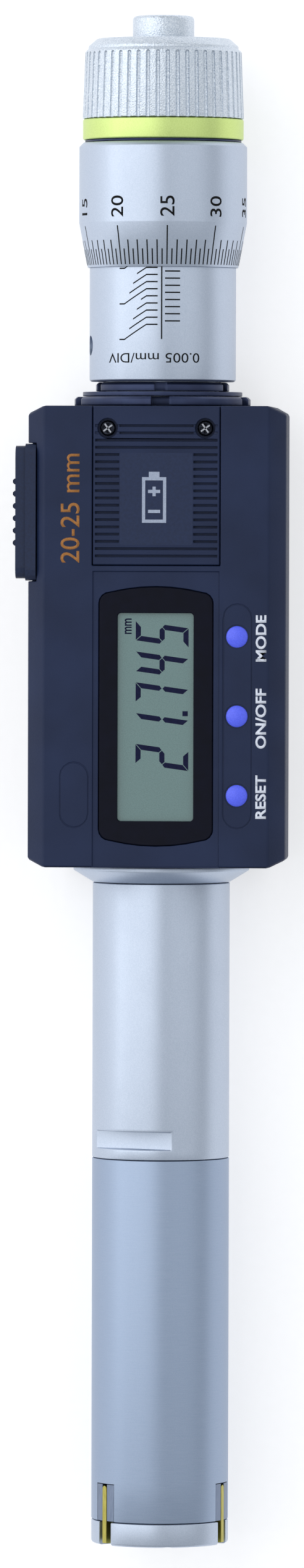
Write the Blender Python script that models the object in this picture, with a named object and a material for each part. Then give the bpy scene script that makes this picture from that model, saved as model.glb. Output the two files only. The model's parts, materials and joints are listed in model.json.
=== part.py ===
"""Digital three-point inside micrometer, lying on the back of its housing.

The instrument is modelled upright: its axis is Z, height 0 is the end of the measuring head, and
the display faces -Y. An empty then lays it on its back, with the display up and the knob towards +Y.
Every size below is in millimetres, and MM turns it to metres.
"""
import math

import bmesh
import bpy
from mathutils import Matrix, Vector

MM = 0.001
TURN = 2.0 * math.pi
WELD = 0.0001

# Facets round a turned piece
SEG_BIG = 36
SEG_MID = 20
SEG_ROD = 16
SEG_SMALL = 10

# Clearances
SEAM = 0.1
FIT = 0.3
SLIDE_FIT = 0.05
EDGE = 0.1
SCREW_PLAY = 0.15

# How far a cutter runs past a surface, and how deep an added shape is rooted in its wall
OVERCUT = 1.0
ROOT = 0.4

# Edges that turn more than this, in degrees, stay sharp
SHARP_ANGLE = 30.0

# Measuring head
HEAD_RADIUS = 9.7
HEAD_LENGTH = 51.2
HEAD_WALL = 3.6
HEAD_BORE = HEAD_RADIUS - HEAD_WALL
ROD_BORE = 4.6
CAP_LENGTH = 3.3
CAP_FILLET = 0.4
CAP_FLOOR = 1.0
CAP_POCKET_RADIUS = 3.0
CAP_SLOT_WIDTH = 2.7
CAP_SLOT_FLOOR = 4.2
CAP_SCREW_HEAD = 1.5
CAP_SCREW_SHANK = 0.8
CAP_SCREW_LENGTH = 6.0
CAP_SCREW_HOLE = 1.0
CAP_SINK_RADIUS = 1.65
CAP_SCREW_SINK = 0.1
CAP_SCREW_SLOT = 0.4
CAP_SCREW_SLOT_DEPTH = 0.35

# Anvils and the cone that spreads them
ANVIL_COUNT = 3
FIRST_ANVIL_ANGLE = -50.1
ANVIL_WIDTH = 3.85
ANVIL_HEIGHT = 5.2
ANVIL_INNER = 1.45
TONGUE_WIDTH = 1.5
TONGUE_SETBACK = 1.0
BLADE_WIDTH = 0.93
BLADE_DEPTH = 1.25
BLADE_TOP_GAP = 0.2
BLADE_BOTTOM = 0.3
BLADE_PROUD = 0.02
CONE_SLOPE = 0.5
CONE_TRAVEL = 5.6
CONE_TIP_RADIUS = 1.465
CONE_TIP_HEIGHT = CAP_FLOOR + FIT + CONE_TRAVEL
CONE_PLAY = 0.3
CONE_STEP = 0.5
CONE_GUIDE_RADIUS = HEAD_BORE - CONE_PLAY
CONE_TOP_RADIUS = CONE_GUIDE_RADIUS - CONE_STEP
CONE_BACK_ROOM = 2.68
CONE_GUIDE = 9.0
CONE_SHOULDER = 0.4
CONE_SHANK_RADIUS = 3.2
CONE_SHANK = 5.3

# Push rod and return spring
ROD_RADIUS = 2.5
ROD_COLLAR_RADIUS = 4.2
ROD_COLLAR = 1.2
ROD_REACH = 3.4
SPRING_WIRE = 0.4
SPRING_RADIUS = 3.5
SPRING_LENGTH = 27.0
SPRING_TURNS = 5

# Threaded joints between head, tube and barrel
SPIGOT_RADIUS = 6.2
SPIGOT_LENGTH = 6.4

# Extension tube
TUBE_LENGTH = 38.9
FLATS_ACROSS = 15.0
FLATS_LENGTH = 2.5
FLATS_HEIGHT = 1.45
FLATS_ANGLE = -26.6

# Collar and main barrel
COLLAR_RADIUS = 12.45
COLLAR_RISE = 1.67
COLLAR_RIM = 0.63
BARREL_SEAT_RADIUS = 8.0
BARREL_SEAT = 3.0
BARREL_WAIST_RADIUS = 6.8
BARREL_BORE = 5.4
NUT_BORE = 3.9
THREAD_RADIUS = 6.6
THREAD_LENGTH = 7.0
SHOULDER_DROP = 0.4

# Housing
HOUSING_LENGTH = 64.8
HOUSING_HALF_WIDTH = 18.15
FACE_CHAMFER_WIDTH = 2.35
FACE_HALF_WIDTH = HOUSING_HALF_WIDTH - FACE_CHAMFER_WIDTH
FACE_DEPTH = 14.5
FACE_CHAMFER_DEPTH = 2.4
SIDE_WALL_END = -3.1
REAR_DEPTH = 13.0
REAR_EDGE_DEPTH = 11.0
SIDE_DRAFT = 2.75
REAR_SHOULDER = HOUSING_HALF_WIDTH - SIDE_DRAFT
REAR_CHAMFER_WIDTH = 2.0
REAR_HALF_WIDTH = REAR_SHOULDER - REAR_CHAMFER_WIDTH
CORNER_RISE = 1.1
WALL = 1.8
HOUSING_BEVEL = 0.25
BAND_MARGIN = 6.93
BAND_HALF_WIDTH = FACE_HALF_WIDTH - BAND_MARGIN
BAND_DEPTH = 0.15
PARTING_GAP = 0.1

# Housing screws and bosses
BOSS_RADIUS = 2.0
BOSS_MARGIN = 2.4
BOSS_X = REAR_HALF_WIDTH - BOSS_MARGIN
BOSS_INSET = 4.1
REAR_SCREW_SHANK = 0.75
REAR_SCREW_HEAD = 1.8
REAR_SCREW_HEAD_HEIGHT = 1.2
REAR_SCREW_RECESS = 1.7
REAR_SCREW_ENGAGE = 6.0
REAR_BOSS_RADIUS = 2.7
REAR_SCREW_HOLE = 1.0
REAR_WELL_RADIUS = 2.0
REAR_SCREW_CHAMFER = 0.3
REAR_CROSS_REACH = 1.0
REAR_CROSS_WIDTH = 0.3
REAR_CROSS_DEPTH = 0.6

# Battery compartment
COVER_LENGTH = 22.3
COVER_STEP = 0.03
COVER_HALF_WIDTH = BAND_HALF_WIDTH + COVER_STEP
COVER_THICKNESS = 1.4
COVER_GAP = 0.12
LEDGE_HEIGHT = 0.8
DECK_THICKNESS = 1.5
DECK_MARGIN = 0.7
DECK_HALF_WIDTH = COVER_HALF_WIDTH + DECK_MARGIN
GROOVE_PITCH = 1.014
GROOVE_WIDTH = 0.36
GROOVE_DEPTH = 0.22
FULL_GROOVES_TOP = 4
FULL_GROOVES_BOTTOM = 2
SIDE_GROOVES = 13
TOP_GROOVE_DROP = 2.8
SIDE_GROOVE_INSET = 0.3
SIDE_GROOVE_LENGTH = 3.4
SIDE_GROOVE_OUTER = COVER_HALF_WIDTH - SIDE_GROOVE_INSET
SIDE_GROOVE_INNER = SIDE_GROOVE_OUTER - SIDE_GROOVE_LENGTH
COVER_SCREW_INSET = 2.05
COVER_SCREW_X = COVER_HALF_WIDTH - COVER_SCREW_INSET
COVER_SCREW_DROP = 3.14
COVER_SCREW_HOLE = 1.44
COVER_SCREW_SINK = 0.9
COVER_SCREW_HEAD = 1.1
COVER_SCREW_SHANK = 0.55
COVER_SCREW_LENGTH = 2.7
COVER_SCREW_HEAD_HEIGHT = 0.5
COVER_SCREW_CHAMFER = 0.2
COVER_CROSS_REACH = 0.65
COVER_CROSS_WIDTH = 0.28
COVER_CROSS_DEPTH = 0.35
CELL_RADIUS = 5.8
CELL_THICKNESS = 5.2
CELL_DROP = 11.4
CELL_STEP = 0.9
CELL_STEP_HEIGHT = 0.4
CELL_CHAMFER = 0.2
CONTACT_THICKNESS = 0.25
CONTACT_HALF_WIDTH = 2.2
CONTACT_BEND = 1.0

# Display
WINDOW_MARGIN = 0.9
WINDOW_HALF_WIDTH = BAND_HALF_WIDTH - WINDOW_MARGIN
WINDOW_BOTTOM = 3.1
WINDOW_TOP_GAP = 3.1
WINDOW_TOP = HOUSING_LENGTH - COVER_LENGTH - WINDOW_TOP_GAP
WINDOW_ARCH = 0.8
WINDOW_CORNER = 1.5
WINDOW_THICKNESS = 1.0
WINDOW_PROUD = 0.08
ARCH_STEPS = 6
CORNER_STEPS = 4
VIEW_SIDE_MARGIN = 1.97
VIEW_BOTTOM_MARGIN = 2.7
VIEW_TOP_MARGIN = 2.9
VIEW_HALF_WIDTH = WINDOW_HALF_WIDTH - VIEW_SIDE_MARGIN
VIEW_BOTTOM = WINDOW_BOTTOM + VIEW_BOTTOM_MARGIN
VIEW_TOP = WINDOW_TOP - VIEW_TOP_MARGIN
LCD_THICKNESS = 1.6
LCD_GAP = 0.2
LCD_MARGIN = 0.7
LCD_HALF_WIDTH = VIEW_HALF_WIDTH + LCD_MARGIN

# Keys
STRIP_HALF_WIDTH = 1.92
STRIP_THICKNESS = 0.8
STRIP_GAP = 0.12
STRIP_CLEARANCE = 0.67
KEY_STRIP_X = BAND_HALF_WIDTH + STRIP_CLEARANCE + STRIP_HALF_WIDTH
KEY_STRIP_BOTTOM = 5.65
KEY_STRIP_DROP = 2.43
KEY_STRIP_TOP = WINDOW_TOP - KEY_STRIP_DROP
BLANK_STRIP_X = -KEY_STRIP_X
BLANK_STRIP_BOTTOM = 5.68
BLANK_STRIP_TOP = 14.71
BUTTON_SHIFT = 0.07
BUTTON_X = KEY_STRIP_X - BUTTON_SHIFT
BUTTON_END_INSET = 4.52
BUTTON_HEIGHTS = {"button_bottom": KEY_STRIP_BOTTOM + BUTTON_END_INSET,
                  "button_middle": 0.5 * (KEY_STRIP_BOTTOM + KEY_STRIP_TOP),
                  "button_top": KEY_STRIP_TOP - BUTTON_END_INSET}
BUTTON_RADIUS = 1.6
BUTTON_GAP = 0.12
BUTTON_DOME = 0.36
BUTTON_DOME_SHAPE = ((0.6, 0.8), (0.9, 0.4))
BUTTON_FLANGE = 2.0
BUTTON_FLANGE_THICKNESS = 0.5
BUTTON_TRAVEL = 0.45

# Circuit board
BOARD_MARGIN = 4.15
BOARD_HALF_WIDTH = HOUSING_HALF_WIDTH - WALL - BOARD_MARGIN
BOARD_BOTTOM = 6.6
BOARD_RISE = 1.3
BOARD_TOP = WINDOW_TOP + BOARD_RISE
BOARD_THICKNESS = 1.0
BOARD_FRONT = -10.0
SWITCH_RADIUS = 1.5
SWITCH_GAP = 0.15
SWITCH_SHIFT = 0.4
CHIP_HALF_WIDTH = 4.0
CHIP_HEIGHT = 8.0
CHIP_THICKNESS = 1.1
CHIP_BOTTOM = 12.0
POST_RADIUS = 1.0
POST_MARGIN = 3.2
POST_X = BOARD_HALF_WIDTH - POST_MARGIN
POST_INSET = 1.5

# Data output connector and its cap, on the left side
CAP_TOP_DROP = 5.34
CAP_HEIGHT = 19.22
CAP_TOP = HOUSING_LENGTH - CAP_TOP_DROP
CAP_BOTTOM = CAP_TOP - CAP_HEIGHT
CAP_FRONT = -13.9
CAP_BACK = -4.3
CAP_CORNER = 1.5
CAP_SEAT_DEPTH = 1.25
CAP_FLANGE_PROUD = 0.35
CAP_PAD_RISE = 1.38
CAP_RIB_RISE = 0.37
CAP_SEAT_X = HOUSING_HALF_WIDTH - CAP_SEAT_DEPTH
CAP_FLANGE_X = HOUSING_HALF_WIDTH + CAP_FLANGE_PROUD
CAP_PAD_X = CAP_FLANGE_X + CAP_PAD_RISE
CAP_RIB_X = CAP_PAD_X + CAP_RIB_RISE
CAP_PAD_INSET = 0.3
CAP_RIBS = 6
CAP_RIB_PITCH = 1.722
CAP_RIB_HEIGHT = 0.83
CAP_RIB_ROOT = 0.8
CAP_RIB_CORNER = 0.25
PLUG_INSET = 2.9
PLUG_BACK_INSET = 2.0
PLUG_END_INSET = 2.0
PLUG_DEPTH = 2.5
SOCKET_DEPTH = 3.2
CONNECTOR_DEPTH = 4.6
CONNECTOR_WALL = 0.7
PIN_COLUMNS = 5
PIN_PITCH = 2.54
PIN_SIZE = 0.6
PIN_HEIGHT = 0.4

# Ring nuts
NUT_CHAMFER = 0.35
LOWER_NUT_RADIUS = 12.45
LOWER_NUT_HEIGHT = 1.25
LOWER_NOTCH_WIDTH = 2.56
LOWER_NOTCH_DEPTH = 1.6
NOTCH_COUNT = 5
FIRST_NOTCH_ANGLE = 1.8
DISC_RADIUS = 11.28
DISC_HEIGHT = 0.6
UPPER_NUT_RADIUS = 9.42
UPPER_NUT_HEIGHT = 1.25
UPPER_NOTCH_WIDTH = 1.73
UPPER_NOTCH_DEPTH = 0.7

# Scale sleeve and thimble
SLEEVE_RADIUS = 10.35
SLEEVE_LENGTH = 19.1
SLEEVE_CHAMFER = 0.25
SPANNER_HOLE = 1.4
SPANNER_HOLE_HEIGHT = 5.1
SPANNER_HOLE_DEPTH = 1.2
SPANNER_HOLE_ANGLES = (-77.0, 103.0)
SLEEVE_SHOWN = 16.12
THIMBLE_BORE = 10.5
THIMBLE_EDGE_RADIUS = 10.65
THIMBLE_CONE = 6.31
THIMBLE_RADIUS = 11.87
THIMBLE_LENGTH = 17.64
THIMBLE_CHAMFER = 0.6
THIMBLE_WEB = 2.3
ADJUSTER_RADIUS = 9.0
ADJUSTER_HEIGHT = 5.2
ADJUSTER_LIFT = 1.2
ADJUSTER_SLOT = 1.6
ADJUSTER_SLOT_DEPTH = 1.2

# Spindle
SPINDLE_RADIUS = 2.6
SPINDLE_THREAD = 3.6
SPINDLE_THREAD_LENGTH = 18.7
SPINDLE_TOP_RADIUS = 3.1
SPINDLE_HEAD = 4.8
SPINDLE_TAP_RADIUS = 1.5
SPINDLE_TAP_DEPTH = 5.5

# Rotary encoder inside the barrel
ENCODER_HEIGHT = 27.9
ENCODER_THICKNESS = 1.8
STATOR_RADIUS = 5.15
ROTOR_RADIUS = 4.9

# Ratchet
WASHER_RADIUS = 11.05
WASHER_INNER = 7.4
WASHER_THICKNESS = 0.2
COLOUR_RING_RADIUS = 11.36
COLOUR_RING_HEIGHT = 2.9
COLOUR_RING_CHAMFER = 0.15
KNOB_SKIRT_RADIUS = 10.4
KNOB_BOTTOM_RADIUS = 11.4
KNOB_TOP_RADIUS = 11.05
KNOB_GRIP = 9.7
KNOB_GROOVES = 50
KNOB_GROOVE_DEPTH = 0.3
KNOB_GROOVE_ANGLE = 1.8
KNOB_SHOULDER_RADIUS = 10.6
KNOB_SHOULDER_RISE = 0.5
KNOB_CROWN = 1.56
KNOB_CROWN_RADIUS = 9.4
KNOB_WEB = 1.6
NUB_RADIUS = 4.34
NUB_HEIGHT = 3.3
NUB_FILLET = 0.6
NUB_DOME = 0.15
NUB_PLUG = 3.9
KNOB_CAVITY = 7.7
CAP_CAVITY = 4.0
RATCHET_RADIUS = 7.0
RATCHET_TEETH = 24
TOOTH_HEIGHT = 0.25
WHEEL_THICKNESS = 1.9
PLATE_THICKNESS = 1.3
RATCHET_SPRING_WIRE = 0.35
RATCHET_SPRING_RADIUS = 5.4
RATCHET_SCREW_HEAD = 3.4
RATCHET_SCREW_HEAD_HEIGHT = 1.7
RATCHET_SCREW_SHOULDER = 2.2
RATCHET_SCREW_SHANK = 1.2
RATCHET_SCREW_END_GAP = 1.0

# Heights of the stacked outside pieces, from the end of the measuring head
HEAD_FOOT = CAP_LENGTH + SEAM
HEAD_TOP = HEAD_FOOT + HEAD_LENGTH
ANVIL_FOOT = HEAD_FOOT + SLIDE_FIT
ANVIL_TOP = ANVIL_FOOT + ANVIL_HEIGHT
TUBE_FOOT = HEAD_TOP + SEAM
TUBE_TOP = TUBE_FOOT + TUBE_LENGTH
COLLAR_FOOT = TUBE_TOP + SEAM
COLLAR_TOP = COLLAR_FOOT + COLLAR_RISE + COLLAR_RIM
HOUSING_FOOT = COLLAR_TOP + SEAM
HOUSING_TOP = HOUSING_FOOT + HOUSING_LENGTH
LOWER_NUT_FOOT = HOUSING_TOP + SEAM
DISC_FOOT = LOWER_NUT_FOOT + LOWER_NUT_HEIGHT + SEAM
UPPER_NUT_FOOT = DISC_FOOT + DISC_HEIGHT + SEAM
SLEEVE_FOOT = UPPER_NUT_FOOT + UPPER_NUT_HEIGHT + SEAM
SLEEVE_TOP = SLEEVE_FOOT + SLEEVE_LENGTH
BARREL_SHOULDER = SLEEVE_TOP - SHOULDER_DROP
BARREL_TOP = BARREL_SHOULDER + THREAD_LENGTH
THIMBLE_FOOT = SLEEVE_FOOT + SLEEVE_SHOWN
THIMBLE_TOP = THIMBLE_FOOT + THIMBLE_LENGTH
WASHER_FOOT = THIMBLE_TOP + SEAM
RING_FOOT = WASHER_FOOT + WASHER_THICKNESS + SEAM
GRIP_FOOT = RING_FOOT + COLOUR_RING_HEIGHT + SEAM
GRIP_TOP = GRIP_FOOT + KNOB_GRIP
KNOB_TOP = GRIP_TOP + KNOB_CROWN
NUB_FOOT = KNOB_TOP + SEAM
HOUSING_MIDDLE = HOUSING_FOOT + 0.5 * HOUSING_LENGTH

# Heights along the hidden stack on the axis
CONE_TOP = CONE_TIP_HEIGHT + (CONE_TOP_RADIUS - CONE_TIP_RADIUS) / CONE_SLOPE
CONE_GUIDE_TOP = CONE_TOP + CONE_GUIDE
CONE_SHANK_TOP = CONE_GUIDE_TOP + CONE_SHANK
SPIGOT_TOP = HEAD_TOP + SPIGOT_LENGTH
SPRING_FOOT = SPIGOT_TOP + FIT + SPRING_WIRE
ROD_FOOT = CONE_SHANK_TOP + FIT
COLLAR_SEAT = SPRING_FOOT + SPRING_LENGTH + SPRING_WIRE
ROD_TOP = TUBE_TOP + SPIGOT_LENGTH + ROD_REACH
SPINDLE_FOOT = ROD_TOP + FIT
SPINDLE_THREAD_TOP = BARREL_TOP - FIT
WEB_FOOT = THIMBLE_TOP - THIMBLE_WEB
SPINDLE_TOP = THIMBLE_TOP + SPINDLE_HEAD
WHEEL_FOOT = THIMBLE_TOP + FIT
TEETH_TIP = WHEEL_FOOT + WHEEL_THICKNESS + TOOTH_HEIGHT
PLATE_FOOT = TEETH_TIP + FIT
PLATE_TOP = PLATE_FOOT + TOOTH_HEIGHT + PLATE_THICKNESS
WEB_CEILING = PLATE_TOP + FIT + 4.0 * RATCHET_SPRING_WIRE + FIT
KNOB_WEB_TOP = WEB_CEILING + KNOB_WEB

# Depths behind the display face, along Y
FACE = -FACE_DEPTH
BAND_FLOOR = FACE + BAND_DEPTH
FACE_BACK = FACE + WALL
COVER_FLOOR = FACE + COVER_THICKNESS + SEAM
DECK_BACK = COVER_FLOOR + DECK_THICKNESS
STRIP_FLOOR = FACE + STRIP_THICKNESS + SEAM
WINDOW_FACE = BAND_FLOOR - WINDOW_PROUD
WINDOW_FLOOR = WINDOW_FACE + WINDOW_THICKNESS + SEAM
LCD_FRONT = FACE_BACK + LCD_GAP
COVER_FOOT = HOUSING_TOP - COVER_LENGTH
CELL_FRONT = COVER_FLOOR + FIT
CELL_HEIGHT = HOUSING_TOP - CELL_DROP
COVER_SCREW_HEIGHT = HOUSING_TOP - COVER_SCREW_DROP


def clear_objects():
    for thing in list(bpy.data.objects):
        bpy.data.objects.remove(thing, do_unlink=True)


def make_material(name, colour, roughness, metallic):
    material = bpy.data.materials.new(name)
    material.use_nodes = True
    shader = material.node_tree.nodes["Principled BSDF"]
    shader.inputs["Base Color"].default_value = (*colour, 1.0)
    shader.inputs["Roughness"].default_value = roughness
    shader.inputs["Metallic"].default_value = metallic
    material.diffuse_color = (*colour, 1.0)
    return material


def arc(centre, radius, start, end, steps):
    """Points on an arc in a plane, from one angle in degrees to another, both ends included."""
    points = []
    for step in range(steps + 1):
        angle = math.radians(start + (end - start) * step / steps)
        points.append((centre[0] + radius * math.cos(angle), centre[1] + radius * math.sin(angle)))
    return points


def rounded_rectangle(low, high, radius, steps=3):
    """Outline between two corner points, with rounded corners."""
    return (arc((high[0] - radius, high[1] - radius), radius, 0.0, 90.0, steps)
            + arc((low[0] + radius, high[1] - radius), radius, 90.0, 180.0, steps)
            + arc((low[0] + radius, low[1] + radius), radius, 180.0, 270.0, steps)
            + arc((high[0] - radius, low[1] + radius), radius, 270.0, 360.0, steps))


def stadium(x, half_width, bottom, top, steps=8):
    """Upright slot outline with round ends."""
    return (arc((x, top - half_width), half_width, 0.0, 180.0, steps)
            + arc((x, bottom + half_width), half_width, 180.0, 360.0, steps))


def inset_outline(outline, distance):
    """Convex outline moved inwards by one distance all round."""
    middle = Vector((sum(p[0] for p in outline), sum(p[1] for p in outline))) / len(outline)
    sides = []
    for start, end in zip(outline, outline[1:] + outline[:1]):
        along = (Vector(end) - Vector(start)).normalized()
        inwards = Vector((-along.y, along.x))
        if inwards.dot(middle - Vector(start)) < 0.0:
            inwards = -inwards
        sides.append((Vector(start) + inwards * distance, along))
    points = []
    for (start, along), (other, other_along) in zip(sides[-1:] + sides[:-1], sides):
        cross = along.x * other_along.y - along.y * other_along.x
        gap = other - start
        reach = (gap.x * other_along.y - gap.y * other_along.x) / cross
        points.append(tuple(start + along * reach))
    return points


def turned(profile, segments):
    """Spin a (radius, height) profile about Z: from axis to axis, or else closed to a ring."""
    bm = bmesh.new()
    verts = [bm.verts.new((radius, 0.0, height)) for radius, height in profile]
    for pair in zip(verts, verts[1:]):
        bm.edges.new(pair)
    if profile[0][0] > 0.0:
        bm.edges.new((verts[-1], verts[0]))
    bmesh.ops.spin(bm, geom=bm.verts[:] + bm.edges[:], cent=(0, 0, 0), axis=(0, 0, 1),
                   angle=TURN, steps=segments, use_merge=True)
    bmesh.ops.remove_doubles(bm, verts=bm.verts[:], dist=WELD)
    bmesh.ops.recalc_face_normals(bm, faces=bm.faces[:])
    return bm


def prism(outline, low, high, along="Z"):
    """Extrude an outline between two heights, along Z, along Y (outline in X, Z) or along X (Y, Z)."""
    place = {"Z": lambda u, v: (u, v, low), "Y": lambda u, v: (u, low, v), "X": lambda u, v: (low, u, v)}
    step = {"Z": (0, 0, high - low), "Y": (0, high - low, 0), "X": (high - low, 0, 0)}
    bm = bmesh.new()
    face = bm.faces.new([bm.verts.new(place[along](u, v)) for u, v in outline])
    grown = bmesh.ops.extrude_face_region(bm, geom=[face])
    moved = [item for item in grown["geom"] if isinstance(item, bmesh.types.BMVert)]
    bmesh.ops.translate(bm, vec=step[along], verts=moved)
    bmesh.ops.recalc_face_normals(bm, faces=bm.faces[:])
    return bm


def block(x_range, y_range, z_range):
    """Box between the given ranges."""
    low = Vector((x_range[0], y_range[0], z_range[0]))
    high = Vector((x_range[1], y_range[1], z_range[1]))
    bm = bmesh.new()
    place = Matrix.Translation((low + high) * 0.5) @ Matrix.Diagonal((*(high - low), 1.0))
    bmesh.ops.create_cube(bm, size=1.0, matrix=place)
    return bm


def moved(bm, matrix):
    bmesh.ops.transform(bm, matrix=matrix, verts=bm.verts[:])
    return bm


def trimmed(bm, point, normal):
    """Cut away the side that the normal points to, and close the cut."""
    cut = bmesh.ops.bisect_plane(bm, geom=bm.verts[:] + bm.edges[:] + bm.faces[:], dist=WELD,
                                 plane_co=point, plane_no=normal, clear_outer=True)
    rim = [item for item in cut["geom_cut"] if isinstance(item, bmesh.types.BMEdge)]
    bmesh.ops.edgeloop_fill(bm, edges=rim)
    bmesh.ops.recalc_face_normals(bm, faces=bm.faces[:])
    return bm


def combined(shapes):
    """Several closed shapes in one mesh."""
    total = bmesh.new()
    for shape in shapes:
        carrier = bpy.data.meshes.new("carrier")
        shape.to_mesh(carrier)
        shape.free()
        total.from_mesh(carrier)
        bpy.data.meshes.remove(carrier)
    return total


def facing(angle):
    """Turn that points +X outwards at an angle from the display side, positive towards +X."""
    return math.radians(angle - 90.0)


def spoke(shape, angle):
    return moved(shape, Matrix.Rotation(facing(angle), 4, "Z"))


def to_front(x, z):
    """Place a piece turned about Z so that its +Z points out of the display face."""
    return Matrix.Translation((x, 0.0, z)) @ Matrix.Rotation(math.pi / 2.0, 4, "X")


def to_rear(x, z):
    return Matrix.Translation((x, 0.0, z)) @ Matrix.Rotation(-math.pi / 2.0, 4, "X")


class Bench:
    """Turns shapes in millimetres into named objects under the instrument's empty."""

    def __init__(self):
        self.frame = bpy.data.objects.new("instrument", None)
        self.frame.rotation_euler = (-math.pi / 2.0, 0.0, 0.0)
        self.frame.location = (0.0, -HOUSING_MIDDLE * MM, REAR_DEPTH * MM)
        bpy.context.collection.objects.link(self.frame)

    def place(self, name, bm, material, location=(0.0, 0.0, 0.0), turn=0.0):
        """A piece whose origin is at a point in millimetres, turned about Z by an angle in radians."""
        bmesh.ops.scale(bm, vec=(MM, MM, MM), verts=bm.verts[:])
        mesh = bpy.data.meshes.new(name)
        bm.to_mesh(mesh)
        bm.free()
        mesh.shade_smooth()
        mesh.set_sharp_from_angle(angle=math.radians(SHARP_ANGLE))
        if material:
            mesh.materials.append(material)
        piece = bpy.data.objects.new(name, mesh)
        piece.location = Vector(location) * MM
        piece.rotation_euler = (0.0, 0.0, turn)
        piece.parent = self.frame
        bpy.context.collection.objects.link(piece)
        return piece

    def shape(self, piece, name, bm, operation):
        """Give a piece a Boolean with a hidden shape that stands where the piece stands."""
        tool = self.place(piece.name + "_" + name, bm, None)
        tool.location = piece.location
        tool.rotation_euler = piece.rotation_euler
        tool.hide_render = True
        tool.display_type = "WIRE"
        boolean = piece.modifiers.new(name, "BOOLEAN")
        boolean.operation = operation
        boolean.solver = "EXACT"
        boolean.object = tool
        return piece

    def cut(self, piece, name, bm):
        return self.shape(piece, name, bm, "DIFFERENCE")

    def add(self, piece, name, bm):
        return self.shape(piece, name, bm, "UNION")

    def coil(self, name, radius, wire, turns, low, high, material, points_per_turn=8):
        """Spring wire along a helix about the axis, between the heights of its wire's middle."""
        curve = bpy.data.curves.new(name, "CURVE")
        curve.dimensions = "3D"
        curve.bevel_depth = wire * MM
        curve.bevel_resolution = 1
        curve.use_fill_caps = True
        count = turns * points_per_turn + 1
        spline = curve.splines.new("POLY")
        spline.points.add(count - 1)
        for index, point in enumerate(spline.points):
            angle = TURN * index / points_per_turn
            height = low + (high - low) * index / (count - 1)
            spot = Vector((radius * math.cos(angle), radius * math.sin(angle), height)) * MM
            point.co = (*spot, 1.0)
        curve.materials.append(material)
        spring = bpy.data.objects.new(name, curve)
        spring.parent = self.frame
        bpy.context.collection.objects.link(spring)
        return spring


def anvil_angles():
    return [FIRST_ANVIL_ANGLE + 360.0 * index / ANVIL_COUNT for index in range(ANVIL_COUNT)]


def cap_screw_angles():
    """Each screw of the end cap stands halfway between two anvils."""
    return [angle + 180.0 / ANVIL_COUNT for angle in anvil_angles()]


def at_cap_screws(profile):
    """The same turned shape at each screw of the end cap."""
    offset = Matrix.Translation((0.5 * (HEAD_BORE + HEAD_RADIUS), 0.0, 0.0))
    return combined([spoke(moved(turned(profile, SEG_SMALL), offset), angle) for angle in cap_screw_angles()])


def slots_along_anvils(inner, width, low, high):
    """Slots that run outwards from a radius, one for each anvil."""
    half = 0.5 * width
    return combined([spoke(block((inner, HEAD_RADIUS + OVERCUT), (-half, half), (low, high)), angle)
                     for angle in anvil_angles()])


def head_body(bench, steel):
    body = bench.place("head_body", turned([
        (0.0, HEAD_FOOT), (HEAD_RADIUS - EDGE, HEAD_FOOT), (HEAD_RADIUS, HEAD_FOOT + EDGE),
        (HEAD_RADIUS, HEAD_TOP - EDGE), (HEAD_RADIUS - EDGE, HEAD_TOP), (SPIGOT_RADIUS, HEAD_TOP),
        (SPIGOT_RADIUS, SPIGOT_TOP), (0.0, SPIGOT_TOP)], SEG_BIG), steel)
    guide_end = CONE_GUIDE_TOP + CONE_BACK_ROOM
    bench.cut(body, "bore", turned([
        (0.0, HEAD_FOOT - OVERCUT), (HEAD_BORE, HEAD_FOOT - OVERCUT), (HEAD_BORE, guide_end),
        (ROD_BORE, guide_end), (ROD_BORE, SPIGOT_TOP + OVERCUT), (0.0, SPIGOT_TOP + OVERCUT)], SEG_MID))
    bench.cut(body, "slots", slots_along_anvils(
        ANVIL_INNER, ANVIL_WIDTH + 2.0 * SLIDE_FIT, HEAD_FOOT - OVERCUT, ANVIL_TOP + SEAM))
    hole_end = CAP_SCREW_LENGTH + OVERCUT
    bench.cut(body, "tapped_holes", at_cap_screws([
        (0.0, HEAD_FOOT - OVERCUT), (CAP_SCREW_HOLE, HEAD_FOOT - OVERCUT), (CAP_SCREW_HOLE, hole_end),
        (0.0, hole_end)]))


def end_cap(bench, steel, screw_steel):
    cap = bench.place("end_cap", turned(
        [(0.0, 0.0)]
        + arc((HEAD_RADIUS - CAP_FILLET, CAP_FILLET), CAP_FILLET, -90.0, 0.0, 1)
        + [(HEAD_RADIUS, CAP_LENGTH - EDGE), (HEAD_RADIUS - EDGE, CAP_LENGTH),
           (CAP_POCKET_RADIUS, CAP_LENGTH), (CAP_POCKET_RADIUS, CAP_FLOOR), (0.0, CAP_FLOOR)],
        SEG_BIG), steel)
    bench.cut(cap, "slots", slots_along_anvils(CAP_SLOT_FLOOR, CAP_SLOT_WIDTH, -OVERCUT, CAP_LENGTH + OVERCUT))
    taper = CAP_SCREW_HEAD - CAP_SCREW_SHANK
    bench.cut(cap, "countersinks", at_cap_screws([
        (0.0, -OVERCUT), (CAP_SINK_RADIUS, -OVERCUT), (CAP_SINK_RADIUS, CAP_SCREW_SINK),
        (CAP_SCREW_HOLE, CAP_SCREW_SINK + taper + SEAM), (CAP_SCREW_HOLE, CAP_LENGTH + OVERCUT),
        (0.0, CAP_LENGTH + OVERCUT)]))

    for number, angle in enumerate(cap_screw_angles(), start=1):
        screw = turned([(0.0, CAP_SCREW_SINK), (CAP_SCREW_HEAD, CAP_SCREW_SINK),
                        (CAP_SCREW_SHANK, CAP_SCREW_SINK + taper), (CAP_SCREW_SHANK, CAP_SCREW_LENGTH),
                        (0.0, CAP_SCREW_LENGTH)], SEG_SMALL)
        moved(screw, Matrix.Translation((0.5 * (HEAD_BORE + HEAD_RADIUS), 0.0, 0.0)))
        piece = bench.place(f"end_cap_screw_{number}", screw, screw_steel, turn=facing(angle))
        bench.cut(piece, "slot", block((0.0, 2.0 * HEAD_RADIUS), (-0.5 * CAP_SCREW_SLOT, 0.5 * CAP_SCREW_SLOT),
                                       (-OVERCUT, CAP_SCREW_SINK + CAP_SCREW_SLOT_DEPTH)))


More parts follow.
